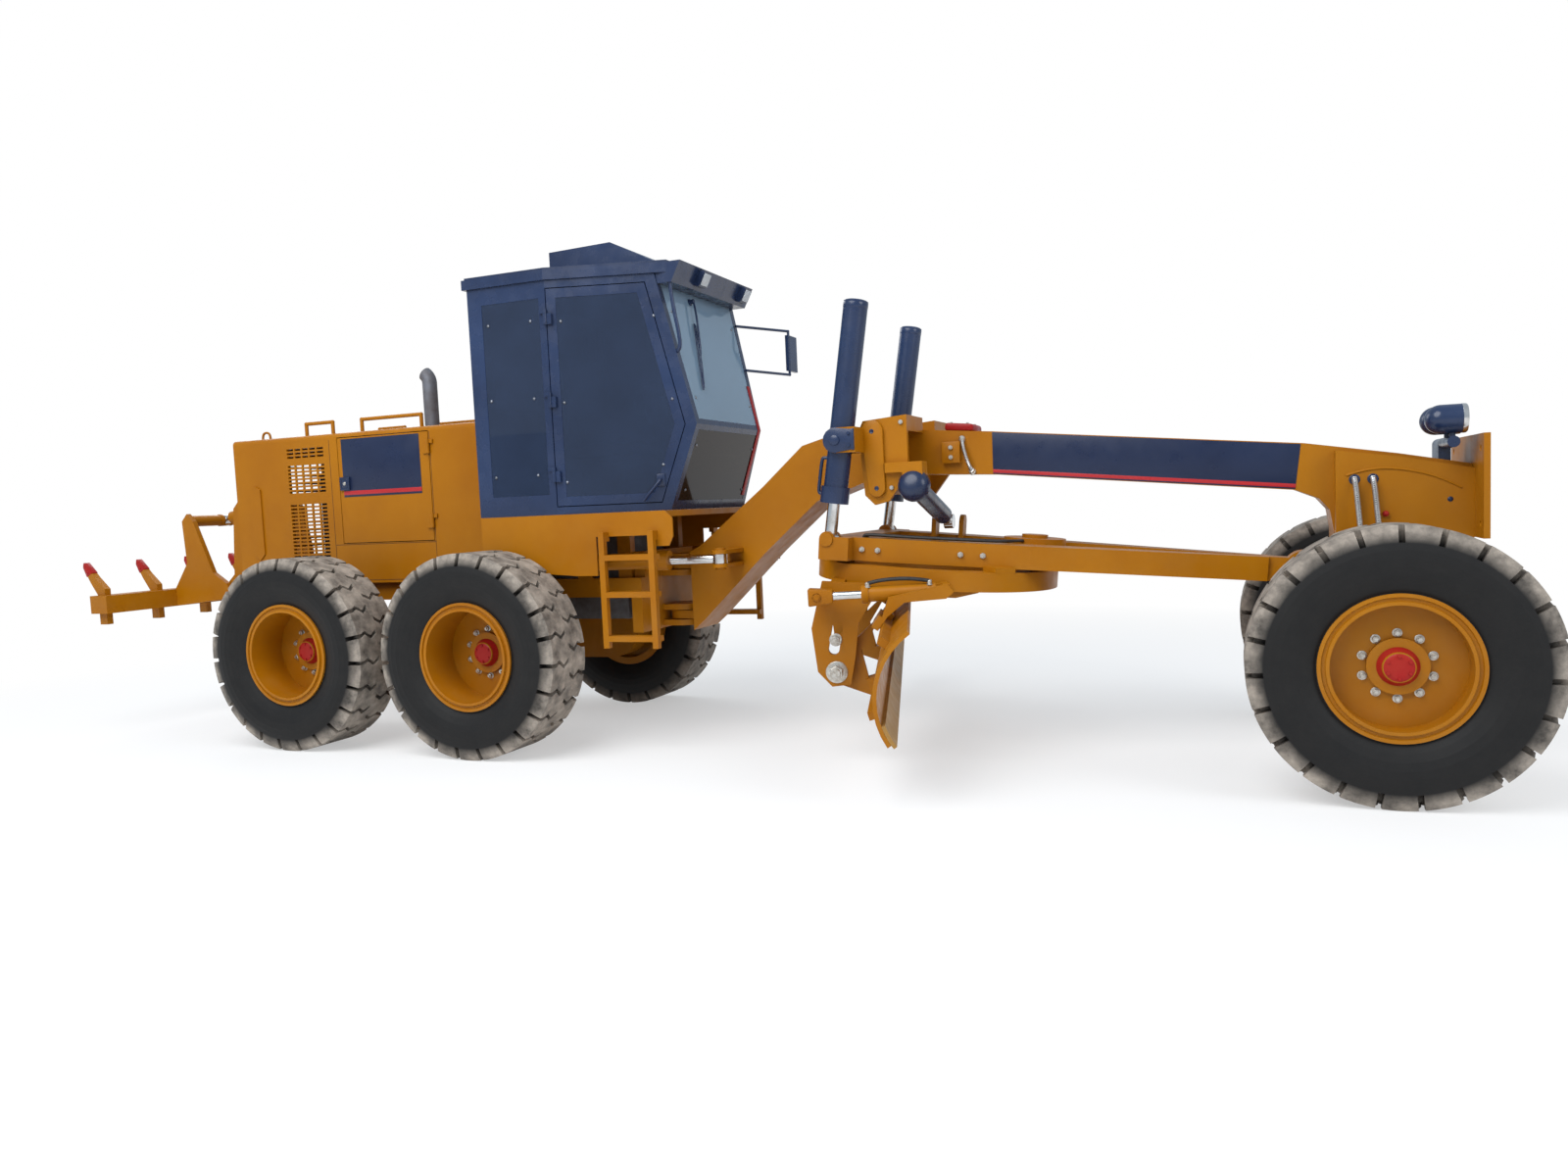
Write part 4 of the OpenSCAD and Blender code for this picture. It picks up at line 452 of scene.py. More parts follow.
def hex_head(place, axis, radius, height, stud=0.0):
    """Hexagon bolt head or nut with chamfered corners, and the end of its stud where it has one."""
    axis = Vector(axis).normalized()
    pick()
    bpy.ops.mesh.primitive_cylinder_add(vertices=6, radius=radius * MM, depth=height * MM)
    head = bpy.context.object
    turn = axis.to_track_quat("Z", "Y").to_matrix().to_4x4()
    head.data.transform(Matrix.Translation(place + axis * height * MM / 2) @ turn)
    bpy.ops.object.mode_set(mode="EDIT")
    bpy.ops.mesh.select_all(action="SELECT")
    bpy.ops.mesh.bevel(offset=radius * HEAD_CHAMFER * MM, segments=1, affect="EDGES")
    bpy.ops.object.mode_set(mode="OBJECT")
    if stud:
        tip = height + stud
        stud_line = [(0, tip), (radius * STUD_TIP, tip), (radius * STUD_FOOT, height)]
        head = joined("head", [head, turned("stud_end", stud_line, place, axis, 12)])
    return head


def joined(name, pieces):
    pick(*pieces)
    bpy.ops.object.join()
    pieces[0].name = name
    return pieces[0]


def ring_of(piece, name, centre, axis, count):
    """The piece repeated round an axis, as one mesh."""
    copies = [piece]
    for k in range(1, count):
        turn = Matrix.Rotation(2 * math.pi * k / count, 4, Vector(axis))
        copy = piece.copy()
        copy.data = piece.data.copy()
        copy.data.transform(Matrix.Translation(centre) @ turn @ Matrix.Translation(-centre))
        scene.collection.objects.link(copy)
        copies.append(copy)
    return joined(name, copies)


def finished(piece, material, body):
    piece.data.materials.clear()
    piece.data.materials.append(material)
    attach(piece, body)
    return piece


red_enamel = enamel("red_enamel", (0.36, 0.012, 0.010, 1), (0.28, 0.008, 0.008, 1), 0.10, 0.25)
for wheel, x, sign, disc in WHEELS:
    outward = Vector((0, sign, 0))
    seat = at(x, sign * (WHEEL_Y + disc + HUB_ABOVE_DISC), WHEEL_Z)
    cap = turned("hub_cap_" + wheel, CAP_PROFILE, seat, outward)
    screw = hex_head(seat + Vector((0, sign * CAP_SCREW_UP * MM, CAP_SCREW_R * MM)), outward, 8, 7)
    screws = ring_of(screw, "cap_screws", seat, outward, CAP_SCREWS)
    finished(joined("hub_cap_" + wheel, [cap, screws]), red_enamel, "wheel_" + wheel)

# Wheel nuts: ten forged nuts on the studs that pull each disc to its hub, zinc plated and
# standing on plain washers.
NUT_CIRCLE_R, NUT_COUNT, DISC_HALF = 158, 10, 12.5
WASHER_PROFILE, WASHER_T = [(0, 4), (20, 4), (22, 3), (22, 0)], 4
zinc = patchy("zinc_plate", (0.62, 0.60, 0.56, 1), (0.40, 0.36, 0.30, 1), 60.0, 5, 0.28, 0.5, 0.85)
for wheel, x, sign, disc in WHEELS:
    outward = Vector((0, sign, 0))
    centre = at(x, sign * (WHEEL_Y + disc + DISC_HALF), WHEEL_Z)
    stand = centre + Vector((0, 0, NUT_CIRCLE_R * MM))
    washer = turned("washer", WASHER_PROFILE, stand, outward, 16)
    nut = hex_head(stand + outward * WASHER_T * MM, outward, 16, 16, 8)
    nuts = ring_of(joined("nut", [washer, nut]), "wheel_nuts_" + wheel, centre, outward, NUT_COUNT)
    finished(nuts, zinc, "wheel_" + wheel)

# Door panels: a dark film panel on each hood door with one plain red band along its foot.
# Both are cut sheets stuck on the paint.
HOOD_SIDE = 500
PANEL_X, PANEL_Z, BAND_Z = (-809, -86), (1767, 2198), (1782, 1812)
ON_PAINT, FILM_T, FILM_EDGE = 0.3, 1.6, 0.5
ON_FILM, BAND_T, BAND_EDGE = 2.0, 0.8, 0.3


def plate(name, outline, push, bevel=0.0):
    """A filled ring of corners, pushed out to a plate's thickness, with its edges softened."""
    pick()
    bpy.ops.mesh.primitive_circle_add(vertices=len(outline), fill_type="NGON")
    piece = bpy.context.object
    piece.name = name
    for vertex, corner in zip(piece.data.vertices, outline):
        vertex.co = corner
    bpy.ops.object.mode_set(mode="EDIT")
    bpy.ops.mesh.select_all(action="SELECT")
    bpy.ops.mesh.extrude_region_move(TRANSFORM_OT_translate={"value": push})
    bpy.ops.mesh.select_all(action="SELECT")
    bpy.ops.mesh.normals_make_consistent(inside=False)
    bpy.ops.object.mode_set(mode="OBJECT")
    if bevel:
        round_edges(piece, bevel)
    return piece


def side_sheet(name, corners, sign, y, thick, bevel=0.0):
    """Sheet with corners in X and Z on one side of the machine, its back at y and pushed outwards."""
    outline = [at(x, sign * y, z) for x, z in corners]
    return plate(name, outline, Vector((0, sign * thick * MM, 0)), bevel)


def rectangle(x, z):
    return [(x[0], z[0]), (x[1], z[0]), (x[1], z[1]), (x[0], z[1])]


def stuck_film(name, first, second, patch_scale, sheen_scale, gloss, dull, shine=0.5):
    """Coloured plastic film, unevenly faded and a little orange-peeled."""
    material, tree, shader, place = new_material(name)
    fade = ramp(tree, noise(tree, place, patch_scale, 5), 0.3, 0.75)
    sheen = ramp(tree, noise(tree, place, sheen_scale, 6), 0.3, 0.7, gloss, dull)
    paint(tree, shader, mixed(tree, fade, first, second), sheen)
    settle(shader, Specular_IOR_Level=shine)
    bump(tree, shader, noise(tree, place, 70.0, 3), 0.08, 0.0006)
    return material


def panel_and_band(place, panel_line, band_line, y, bodies):
    """Dark panel with its red band on both sides of the machine."""
    for side, sign in SIDES:
        panel = side_sheet(f"{place}_panel_{side}", panel_line, sign, y + ON_PAINT, FILM_T, FILM_EDGE)
        finished(panel, dark_film, bodies[side])
        band = side_sheet(f"{place}_band_{side}", band_line, sign, y + ON_FILM, BAND_T, BAND_EDGE)
        finished(band, red_film, bodies[side])


FILM_TONES = (0.009, 0.016, 0.046, 1), (0.015, 0.025, 0.064, 1)
dark_film = stuck_film("dark_film", *FILM_TONES, 2.2, 11.0, 0.24, 0.42, 0.3)
red_film = stuck_film("red_film", (0.46, 0.012, 0.016, 1), (0.36, 0.010, 0.013, 1), 3.0, 12.0, 0.26, 0.45)
HOOD_DOORS = {side: "hood_door_" + side for side, sign in SIDES}
panel_and_band("door", rectangle(PANEL_X, PANEL_Z), rectangle(PANEL_X, BAND_Z), HOOD_SIDE, HOOD_DOORS)

# Door latches: black zinc castings let into the rear edge of each hood door, a dished paddle
# in a raised frame with a bright key barrel in its middle.
LATCH_X, LATCH_Z, LATCH_T = (-834, -746), (1818, 1916), 14
LATCH_STEPS = ((12, -4), (8, 3))
KEY_PROFILE, KEY_UP = [(0, 3), (3, 3), (3, 5), (11, 5), (13, 3.5), (13, 0)], 13.3
for side, sign in SIDES:
    latch = side_sheet("hood_latch_" + side, rectangle(LATCH_X, LATCH_Z), sign, HOOD_SIDE + ON_PAINT, LATCH_T)
    pick(latch)
    bpy.context.tool_settings.mesh_select_mode = (False, False, True)
    face_y = sign * (HOOD_SIDE + ON_PAINT + LATCH_T) * MM
    for polygon in latch.data.polygons:
        polygon.select = abs(polygon.center.y - face_y) < 0.0002
    bpy.ops.object.mode_set(mode="EDIT")
    for rim, rise in LATCH_STEPS:
        bpy.ops.mesh.inset(thickness=rim * MM)
        bpy.ops.mesh.extrude_region_move(TRANSFORM_OT_translate={"value": (0, sign * rise * MM, 0)})
    bpy.ops.object.mode_set(mode="OBJECT")
    round_edges(latch, 1.5)
    finished(latch, black_enamel, "hood_door_" + side)
    middle = at(sum(LATCH_X) / 2, sign * (HOOD_SIDE + KEY_UP), sum(LATCH_Z) / 2)
    barrel = turned("latch_key_" + side, KEY_PROFILE, middle, (0, sign, 0), 24)
    finished(barrel, zinc, "hood_door_" + side)

# Seams of the hood's side sheets: painted shade in the shadow gaps round the lower service
# panel and behind the door, laid on as dark strips 4 mm wide.
SEAM_X, SEAM_Z, SEAM_W = (-928, 6), (1128, 2205), 4
SEAMS = [((x, x + SEAM_W), SEAM_Z) for x in SEAM_X]
SEAMS += [((SEAM_X[0] + SEAM_W, SEAM_X[1]), (z, z + SEAM_W)) for z in (1409, 1140)]
seam_shade, tree, shader, place = new_material("seam_painted_shade")
# Two dark tones mixed by noise, as painted shade in the seam gaps.
gap_shade_tone = mixed(tree, noise(tree, place, 40.0, 4), (0.10, 0.035, 0.004, 1), (0.03, 0.012, 0.004, 1))
tree.links.new(gap_shade_tone, shader.inputs["Base Color"])
settle(shader, Roughness=0.8)
for side, sign in SIDES:
    strips = [side_sheet("seam", rectangle(x, z), sign, HOOD_SIDE + 0.1, 0.7, 0.2) for x, z in SEAMS]
    finished(joined("hood_seams_" + side, strips), seam_shade, "rear_frame")

# Lifting eyes of the hood: round bar bent to a loop and welded to its top near the rear end, one
# at each side.
HOOD_TOP, EYE_Y, EYE_R = 2250, 380, 9
EYE_LINE = [(-1700, -4), (-1700, 45), (-1660, 62), (-1620, 45), (-1620, -4)]


def tube(name, points, radius):
    """Round bar or pipe through a line of points."""
    curve = bpy.data.curves.new(name, "CURVE")
    curve.dimensions = "3D"
    curve.bevel_depth = radius * MM
    curve.bevel_resolution = 3
    curve.resolution_u = 6
    curve.use_fill_caps = True
    spline = curve.splines.new("NURBS")
    spline.points.add(len(points) - 1)
    for point, place in zip(spline.points, points):
        point.co = (*place, 1)
    spline.order_u = 3
    spline.use_endpoint_u = True
    piece = bpy.data.objects.new(name, curve)
    scene.collection.objects.link(piece)
    pick(piece)
    bpy.ops.object.convert(target="MESH")
    piece = bpy.context.object
    finish_shading(piece, 50)
    return piece


for side, sign in SIDES:
    eye = tube("lifting_eye_" + side, [at(x, sign * EYE_Y, HOOD_TOP + z) for x, z in EYE_LINE], EYE_R)
    finished(eye, yellow_enamel, "rear_frame")

# Glass studs: domed steel heads that clamp each pane to the cab's frame from outside, set near
# the corners and edges of the panes.
CAB_SIDE, CAB_FRONT_SIDE = 800, 530
DOOR_X, KNEE_X, KNEE_Z = 1250, 2167, 2115
CAB_LOW, CAB_TOP, CAB_LOW_X, CAB_TOP_X = 1565, 3085, 1980, 1945
STUD_PROFILE, STUD_SUNK = [(0, 8), (5, 7.4), (8.5, 5), (10, 2), (10, 0)], 2
SIDE_STUDS = [(785, 1830), (1118, 1831), (785, 2340), (1122, 2332), (795, 2835), (1128, 2834)]
DOOR_STUDS = [(1326, 1776), (1944, 1861), (1336, 2292), (2021, 2280), (1342, 2816), (1931, 2817)]
SCREEN_STUDS = [(-441, 2290), (441, 2290), (-470, 2854), (470, 2854)]
LOW_STUDS = [(-455, 1692), (455, 1692), (-455, 1980), (455, 1980)]


def cab_front(z):
    if z < KNEE_Z:
        return KNEE_X - (KNEE_Z - z) * (KNEE_X - CAB_LOW_X) / (KNEE_Z - CAB_LOW)
    return KNEE_X - (z - KNEE_Z) * (KNEE_X - CAB_TOP_X) / (CAB_TOP - KNEE_Z)


def door_out(sign):
    return Vector((CAB_SIDE - CAB_FRONT_SIDE, sign * (KNEE_X - DOOR_X), 0)).normalized()


def on_door(sign, x, z, off=0):
    """A place on a door's slanting face or off it."""
    y = CAB_SIDE - max(0, x - DOOR_X) * (CAB_SIDE - CAB_FRONT_SIDE) / (KNEE_X - DOOR_X)
    return at(x, sign * y, z) + door_out(sign) * off * MM


def stud(place, out):
    return turned("stud", STUD_PROFILE, place - out * STUD_SUNK * MM, out, 16)


upper_out = Vector((CAB_TOP - KNEE_Z, 0, KNEE_X - CAB_TOP_X)).normalized()
lower_out = Vector((KNEE_Z - CAB_LOW, 0, CAB_LOW_X - KNEE_X)).normalized()
stud_steel = bare_metal("stud_steel", (0.26, 0.28, 0.32, 1), (0.14, 0.14, 0.15, 1), 0.9, 0.22)
for side, sign in SIDES:
    fixed = [stud(at(x, sign * CAB_SIDE, z), Vector((0, sign, 0))) for x, z in SIDE_STUDS]
    finished(joined("side_studs_" + side, fixed), stud_steel, "rear_frame")
    hung = [stud(on_door(sign, x, z), door_out(sign)) for x, z in DOOR_STUDS]
    finished(joined("door_studs_" + side, hung), stud_steel, "door_" + side)
front_studs = [stud(at(cab_front(z), y, z), upper_out) for y, z in SCREEN_STUDS]
front_studs += [stud(at(cab_front(z), y, z), lower_out) for y, z in LOW_STUDS]
finished(joined("screen_studs", front_studs), stud_steel, "rear_frame")

# Door handles: a black lever that slants down and back from a rounded base plate, bolted low on
# the front edge of each door.
HANDLE_X, HANDLE_Z, HANDLE_T, LEVER_R = (1898, 1952), (1722, 1802), 9, 9
LEVER_LINE = [
    (1926, 1768, 6), (1926, 1766, 26), (1918, 1752, 38), (1880, 1708, 42), (1840, 1662, 40), (1815, 1632, 34),
]
for side, sign in SIDES:
    corners = [on_door(sign, x, z, ON_PAINT) for x, z in rectangle(HANDLE_X, HANDLE_Z)]
    base = plate("handle_base", corners, door_out(sign) * HANDLE_T * MM, 3.5)
    lever = tube("handle_lever", [on_door(sign, *point) for point in LEVER_LINE], LEVER_R)
    finished(joined("door_handle_" + side, [base, lever]), black_enamel, "door_" + side)

# Wiper: a sprung black arm that hangs from its motor boss at the top of the windscreen, with a
# rubber blade carried in a steel bow.
BOSS_PROFILE = [(0, 34), (12, 34), (15, 30), (15, 8), (24, 5), (24, 0)]
BOSS_Y, BOSS_UP = -150, 868
WIPER_LINES = [
    (7, [(-150, 868, 28), (-160, 800, 34), (-228, 530, 28), (-240, 480, 20)]),
    (5, [(-182, 700, 13), (-210, 590, 19), (-240, 480, 20), (-270, 365, 19), (-300, 255, 13)]),
    (6, [(-180, 712, 6), (-240, 480, 6), (-303, 243, 6)]),
]
screen_up = Vector((CAB_TOP_X - KNEE_X, 0, CAB_TOP - KNEE_Z)).normalized()


def on_screen(y, up, off):
    """A place on the upper windscreen: sideways, up along the glass and off its face, in mm."""
    return at(KNEE_X, y, KNEE_Z) + screen_up * up * MM + upper_out * off * MM


wiper_parts = [turned("wiper_boss", BOSS_PROFILE, on_screen(BOSS_Y, BOSS_UP, 0), upper_out, 20)]
for radius, line in WIPER_LINES:
    wiper_parts.append(tube("wiper_bar", [on_screen(*point) for point in line], radius))
finished(joined("wiper", wiper_parts), black_enamel, "rear_frame")

# Red edge strip: a flat sheet-metal band, sprayed red, bent at the knee and bonded down the left
# front edge of the cab.
STRIP_Y, STRIP_Z, STRIP_T, KNEE_LAP = (476, 524), (1652, 2440), 4, 1


def strip_piece(name, z, out):
    corners = [at(cab_front(h), y, h) + out * ON_PAINT * MM for y, h in rectangle(STRIP_Y, z)]
    return plate(name, corners, out * STRIP_T * MM, 1.2)


strip_low = strip_piece("strip_low", (STRIP_Z[0], KNEE_Z + KNEE_LAP), lower_out)
strip_high = strip_piece("strip_high", (KNEE_Z - KNEE_LAP, STRIP_Z[1]), upper_out)
finished(joined("edge_strip", [strip_low, strip_high]), red_enamel, "rear_frame")

# Pillar arm: a black bent bar from under the visor to the right front pillar, which the mirror
# on that side was once clamped to.
PILLAR_LINE = [
    (2040, -560, 3028), (2042, -562, 2985), (2056, -560, 2860), (2084, -556, 2700), (2088, -552, 2622),
    (2074, -546, 2592), (2046, -540, 2578),
]
PILLAR_R = 13
pillar_arm = tube("pillar_arm", [at(*point) for point in PILLAR_LINE], PILLAR_R)
finished(pillar_arm, black_enamel, "rear_frame")

# Mirror head on the left loop: a moulded black case with a rounded back and the glass let into
# its rear face.
MIRROR_Y, MIRROR_Z, MIRROR_X = (992, 1168), (2592, 2858), 2212
GLASS_IN, GLASS_BACK = 13, 3


def mirror_sheet(name, margin, x, thick, bevel):
    y_range, z_range = ((low + margin, high - margin) for low, high in (MIRROR_Y, MIRROR_Z))
    corners = rectangle(y_range, z_range)
    return plate(name, [at(x, y, z) for y, z in corners], Vector((thick * MM, 0, 0)), bevel)


finished(mirror_sheet("mirror_case", 0, MIRROR_X, 18, 7), black_enamel, "rear_frame")
mirror_glass = mirror_sheet("mirror_glass", GLASS_IN, MIRROR_X - GLASS_BACK, 4, 1)
finished(mirror_glass, chrome, "rear_frame")

# Visor lamps: two square work lamps on the leaning visor, each a black tray with a ribbed clear
# lens let into its face.
VISOR_LOW, VISOR_TOP, VISOR_FOOT, VISOR_LEAN = 3020, 3150.3, 2060, 70
LENS_Z, LENS_HALF, LENS_T, LAMP_DEPTH, LAMP_DROP = (3052, 3125.3), 46, 9, 40, 8


def banded(name, scale, direction, first, second):
    """A material whose two tones follow fine bands, with the bands' own factor."""
    material, tree, shader, place = new_material(name)
    bands = add_node(tree, "ShaderNodeTexWave", Scale=scale, bands_direction=direction)
    tree.links.new(place, bands.inputs["Vector"])
    tree.links.new(mixed(tree, bands.outputs["Fac"], first, second), shader.inputs["Base Color"])
    return material, tree, shader, place, bands.outputs["Fac"]


LENS_TONES = (0.80, 0.83, 0.85, 1), (0.62, 0.66, 0.70, 1)
lens_glass, tree, shader, place, ribs = banded("lamp_lens", 60.0, "Y", *LENS_TONES)
tree.links.new(ramp(tree, noise(tree, place, 30.0, 4), 0.3, 0.7, 0.06, 0.2), shader.inputs["Roughness"])
settle(shader, Transmission_Weight=0.35)
bump(tree, shader, ribs, 0.4, 0.002)
visor_out = Vector((VISOR_TOP - VISOR_LOW, 0, -VISOR_LEAN)).normalized()


def visor_face(z):
    return VISOR_FOOT + (z - VISOR_LOW) * VISOR_LEAN / (VISOR_TOP - VISOR_LOW)


for side, middle in (("left", 446), ("right", -230)):
    corners = [at(visor_face(z) + LAMP_DEPTH, y, z - LAMP_DROP) + visor_out * ON_PAINT * MM
               for y, z in rectangle((middle - LENS_HALF, middle + LENS_HALF), LENS_Z)]
    lens = plate("visor_lens_" + side, corners, visor_out * LENS_T * MM, 4)
    finished(lens, lens_glass, "rear_frame")

# Operator's seat: two foam cushions in dark woven cloth with sewn channels, on a bellows that
# hides the seat's spring.
SEAT_MID, SEAT_HALF = (1270, 0, 2003), (248, 247, 56)
BACK_FOOT, BACK_HEAD, BACK_HALF = (1080, 0, 2015), (990, 0, 2685), (238, 52)
BACK_SHARE = 0.92
CHANNELS, CHANNEL_W, CHANNEL_DEEP = (-0.62, -0.2, 0.22, 0.64), 0.055, 0.16
RIM_THIN, SIDE_DRAW, CROWN = 0.35, 0.035, 0.14


def cushion(name, middle, along, across, out):
    """Foam pad from half-size vectors: crowned face, sides drawn in between its corners."""
    pick()
    bpy.ops.mesh.primitive_cube_add(size=2)
    piece = bpy.context.object
    piece.name = name
    bpy.ops.object.mode_set(mode="EDIT")
    bpy.ops.mesh.select_all(action="SELECT")
    bpy.ops.mesh.subdivide(number_cuts=23)
    bpy.ops.object.mode_set(mode="OBJECT")
    for vertex in piece.data.vertices:
        u, v, w = vertex.co
        drawn_u = u * (1 - SIDE_DRAW * (1 - v * v))
        drawn_v = v * (1 - SIDE_DRAW * (1 - u * u))
        rim = max(abs(u), abs(v)) ** 8
        height = w * (1 - RIM_THIN * rim)
        if w > 0:
            crown = 1 - CROWN + CROWN * (1 - u * u) * (1 - v * v)
            groove = sum(math.exp(-((u - c) / CHANNEL_W) ** 2) for c in CHANNELS) * (1 - rim)
            height *= crown - CHANNEL_DEEP * groove
        vertex.co = middle + along * drawn_u + across * drawn_v + out * height
    softened = piece.modifiers.new("foam", "SUBSURF")
    softened.levels = 1
    softened.render_levels = 1
    finish_shading(piece, 60)
    return piece


CLOTH_TONES = (0.020, 0.022, 0.027, 1), (0.045, 0.048, 0.055, 1)
seat_cloth, tree, shader, place, weave = banded("seat_cloth", 180.0, "DIAGONAL", *CLOTH_TONES)
tree.links.new(ramp(tree, noise(tree, place, 25.0, 5), 0.3, 0.7, 0.75, 0.95), shader.inputs["Roughness"])
settle(shader, Sheen_Weight=0.3)
bump(tree, shader, weave, 0.5, 0.001)
seat_axes = [Vector([half * MM if k == axis else 0 for k in range(3)]) for axis, half in enumerate(SEAT_HALF)]
seat_pad = cushion("seat_cushion", at(*SEAT_MID), *seat_axes)
back_foot, back_head = at(*BACK_FOOT), at(*BACK_HEAD)
back_up = (back_head - back_foot) / 2
back_out = Vector((back_up.z, 0, -back_up.x)).normalized() * BACK_HALF[1] * MM
back_middle = (back_foot + back_head) / 2 + back_up * (1 - BACK_SHARE)
back_side = Vector((0, BACK_HALF[0] * MM, 0))
back_pad = cushion("seat_back", back_middle, back_up * BACK_SHARE, back_side, back_out)
for pad in (seat_pad, back_pad):
    finished(pad, seat_cloth, "rear_frame")
    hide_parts("operator_station")

# Seat bellows, steering console with its side wings, wheel and two control levers: moulded
# plastic over steel, bolted to the cab floor.
FLOOR_Z, PLEATS, PLEAT_H = CAB_LOW + 0.6, 5, 76
CONSOLE_LINE = [(1680, FLOOR_Z), (1838, FLOOR_Z), (1738, 2322), (1624, 2358)]
WING_X, WING_Z = (1622, 1718), (2167, 2213)
WHEEL_PLACE, WHEEL_R, WHEEL_GRIP, WHEEL_UP, COLUMN_LEAN = at(1640, 0, 2365), 190, 15, 40, math.radians(35)
WHEEL_HUB = [(0, 50), (22, 50), (32, 42), (32, 0), (0, 0)]
SPOKES, SPOKE_LINE, SPOKE_R = 3, [(15, 36), (70, 34), (130, 36), (188, 40)], 10
LEVER_Y, STICK_LINE, STICK_R = 200, [(1640, 2200), (1628, 2260), (1604, 2390), (1592, 2450)], 9
KNOB_PROFILE, KNOB_X, KNOB_Z = [(0, 24), (12, 21), (18, 12), (18, 0), (10, -12), (0, -12)], 1592, 2452


def crosswise(name, line, half, bevel, y=0):
    """Plate with corners in X and Z that reaches half its width to both sides of y."""
    return plate(name, [at(x, y - half, z) for x, z in line], Vector((0, 2 * half * MM, 0)), bevel)


trim = bare_metal("cab_trim", (0.030, 0.031, 0.034, 1), (0.050, 0.049, 0.048, 1), 0.0, 0.55)
front_line, rear_line = [], []
for k in range(PLEATS):
    z = FLOOR_Z + k * PLEAT_H
    front_line += [(1405, z), (1378, z + PLEAT_H / 2)]
    rear_line += [(1055, z), (1082, z + PLEAT_H / 2)]
bellows = crosswise("bellows", front_line + list(reversed(rear_line)), 178, 6)
console = crosswise("console", CONSOLE_LINE, 128, 16)
wings = crosswise("wings", rectangle(WING_X, WING_Z), 198, 8)
station = joined("steering_console", [bellows, console, wings])
column = Vector((-math.sin(COLUMN_LEAN), 0, math.cos(COLUMN_LEAN)))
grip_line = [(WHEEL_R + WHEEL_GRIP * math.cos(a), WHEEL_UP + WHEEL_GRIP * math.sin(a))
             for a in (2 * math.pi * k / 12 for k in range(12))]
wheel_parts = [turned("wheel_grip", grip_line, WHEEL_PLACE, column, 48, closed=True),
               turned("wheel_hub", WHEEL_HUB, WHEEL_PLACE, column, 24)]
for k in range(SPOKES):
    reach = Matrix.Rotation(2 * math.pi * k / SPOKES, 3, column) @ Vector((0, 1, 0))
    spoke = [WHEEL_PLACE + (column * h + reach * r) * MM for r, h in SPOKE_LINE]
    wheel_parts.append(tube("wheel_spoke", spoke, SPOKE_R))
lever_parts = []
for y in (-LEVER_Y, LEVER_Y):
    lever_parts.append(tube("lever", [at(x, y, z) for x, z in STICK_LINE], STICK_R))
    lever_parts.append(turned("knob", KNOB_PROFILE, at(KNOB_X, y, KNOB_Z), (-50, 0, 260), 20))
for piece in (station, joined("steering_wheel", wheel_parts), joined("control_levers", lever_parts)):
    finished(piece, trim, "rear_frame")
    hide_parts("operator_station")

# Beam panels: dark film between the beam's two long edges on both sides, with a red band along
# the lower edge.
BEAM_SIDE = 155
BEAM_PANEL = [(4001, 1700), (5700, 1527), (5730, 1778), (4001, 1956)]
BEAM_BAND = [(4001, 1707), (5702, 1535), (5704, 1556), (4001, 1728)]
panel_and_band("beam", BEAM_PANEL, BEAM_BAND, BEAM_SIDE, {side: "front_frame" for side, sign in SIDES})

# Beam cover: a folded steel lid, sprayed red, screwed on the beam's top in front of the saddle
# over the hoses that come up there.
COVER_X, COVER_HALF, COVER_T, COVER_EDGE = (3698, 3880), 130, 48, 18
COVER_SCREW_IN, COVER_SCREW_Y = 40, 110


def beam_top(x):
    return 2038 - (x - 3088) * (2038 - 1961) / (4001 - 3088)


(rear_x, rear_z), (front_x, front_z) = ((x, beam_top(x)) for x in COVER_X)
cover_line = [
    (rear_x, rear_z + 0.5), (front_x, front_z + 0.5), (front_x, front_z + COVER_T - 8),
    (front_x - COVER_EDGE, front_z + COVER_T), (rear_x + COVER_EDGE, rear_z + COVER_T),
    (rear_x, rear_z + COVER_T - 8),
]
finished(crosswise("beam_cover", cover_line, COVER_HALF, 12), red_enamel, "front_frame")
cover_screws = [
    hex_head(at(x, y, beam_top(x) + COVER_T - 0.5), (0.084, 0, 1), 9, 7)
    for x in (rear_x + COVER_SCREW_IN, front_x - COVER_SCREW_IN) for y in (-COVER_SCREW_Y, COVER_SCREW_Y)
]
finished(joined("cover_screws", cover_screws), zinc, "front_frame")

# Hose junction: a steel block on the beam's right side behind the panel, held by two bolts, with
# a short guarded hose that drops to a fitting at the beam's foot.
BLOCK_X, BLOCK_Z, BLOCK_T, HOSE_AROUND = (3690, 3805), (1778, 1912), 42, 12
junction = side_sheet("hose_junction", rectangle(BLOCK_X, BLOCK_Z), -1, BEAM_SIDE + 0.3, BLOCK_T, 5)
finished(junction, yellow_enamel, "front_frame")
block_face = BEAM_SIDE + BLOCK_T
block_bolts = [hex_head(at(3748, -block_face, z), (0, -1, 0), 15, 13, 5) for z in (1815, 1875)]
finished(joined("junction_bolts", block_bolts), zinc, "front_frame")


def smooth_line(points, between=6):
    """Points joined by one smooth curve that passes through each of them."""
    line = []
    for k in range(len(points) - 1):
        before, first = points[max(k - 1, 0)], points[k]
        second, after = points[k + 1], points[min(k + 2, len(points) - 1)]
        for j in range(between):
            t = j / between
            bend = (2 * before - 5 * first + 4 * second - after) * t * t
            twist = (3 * first - before - 3 * second + after) * t ** 3
            line.append(0.5 * (2 * first + (second - before) * t + bend + twist))
    return line + [points[-1]]


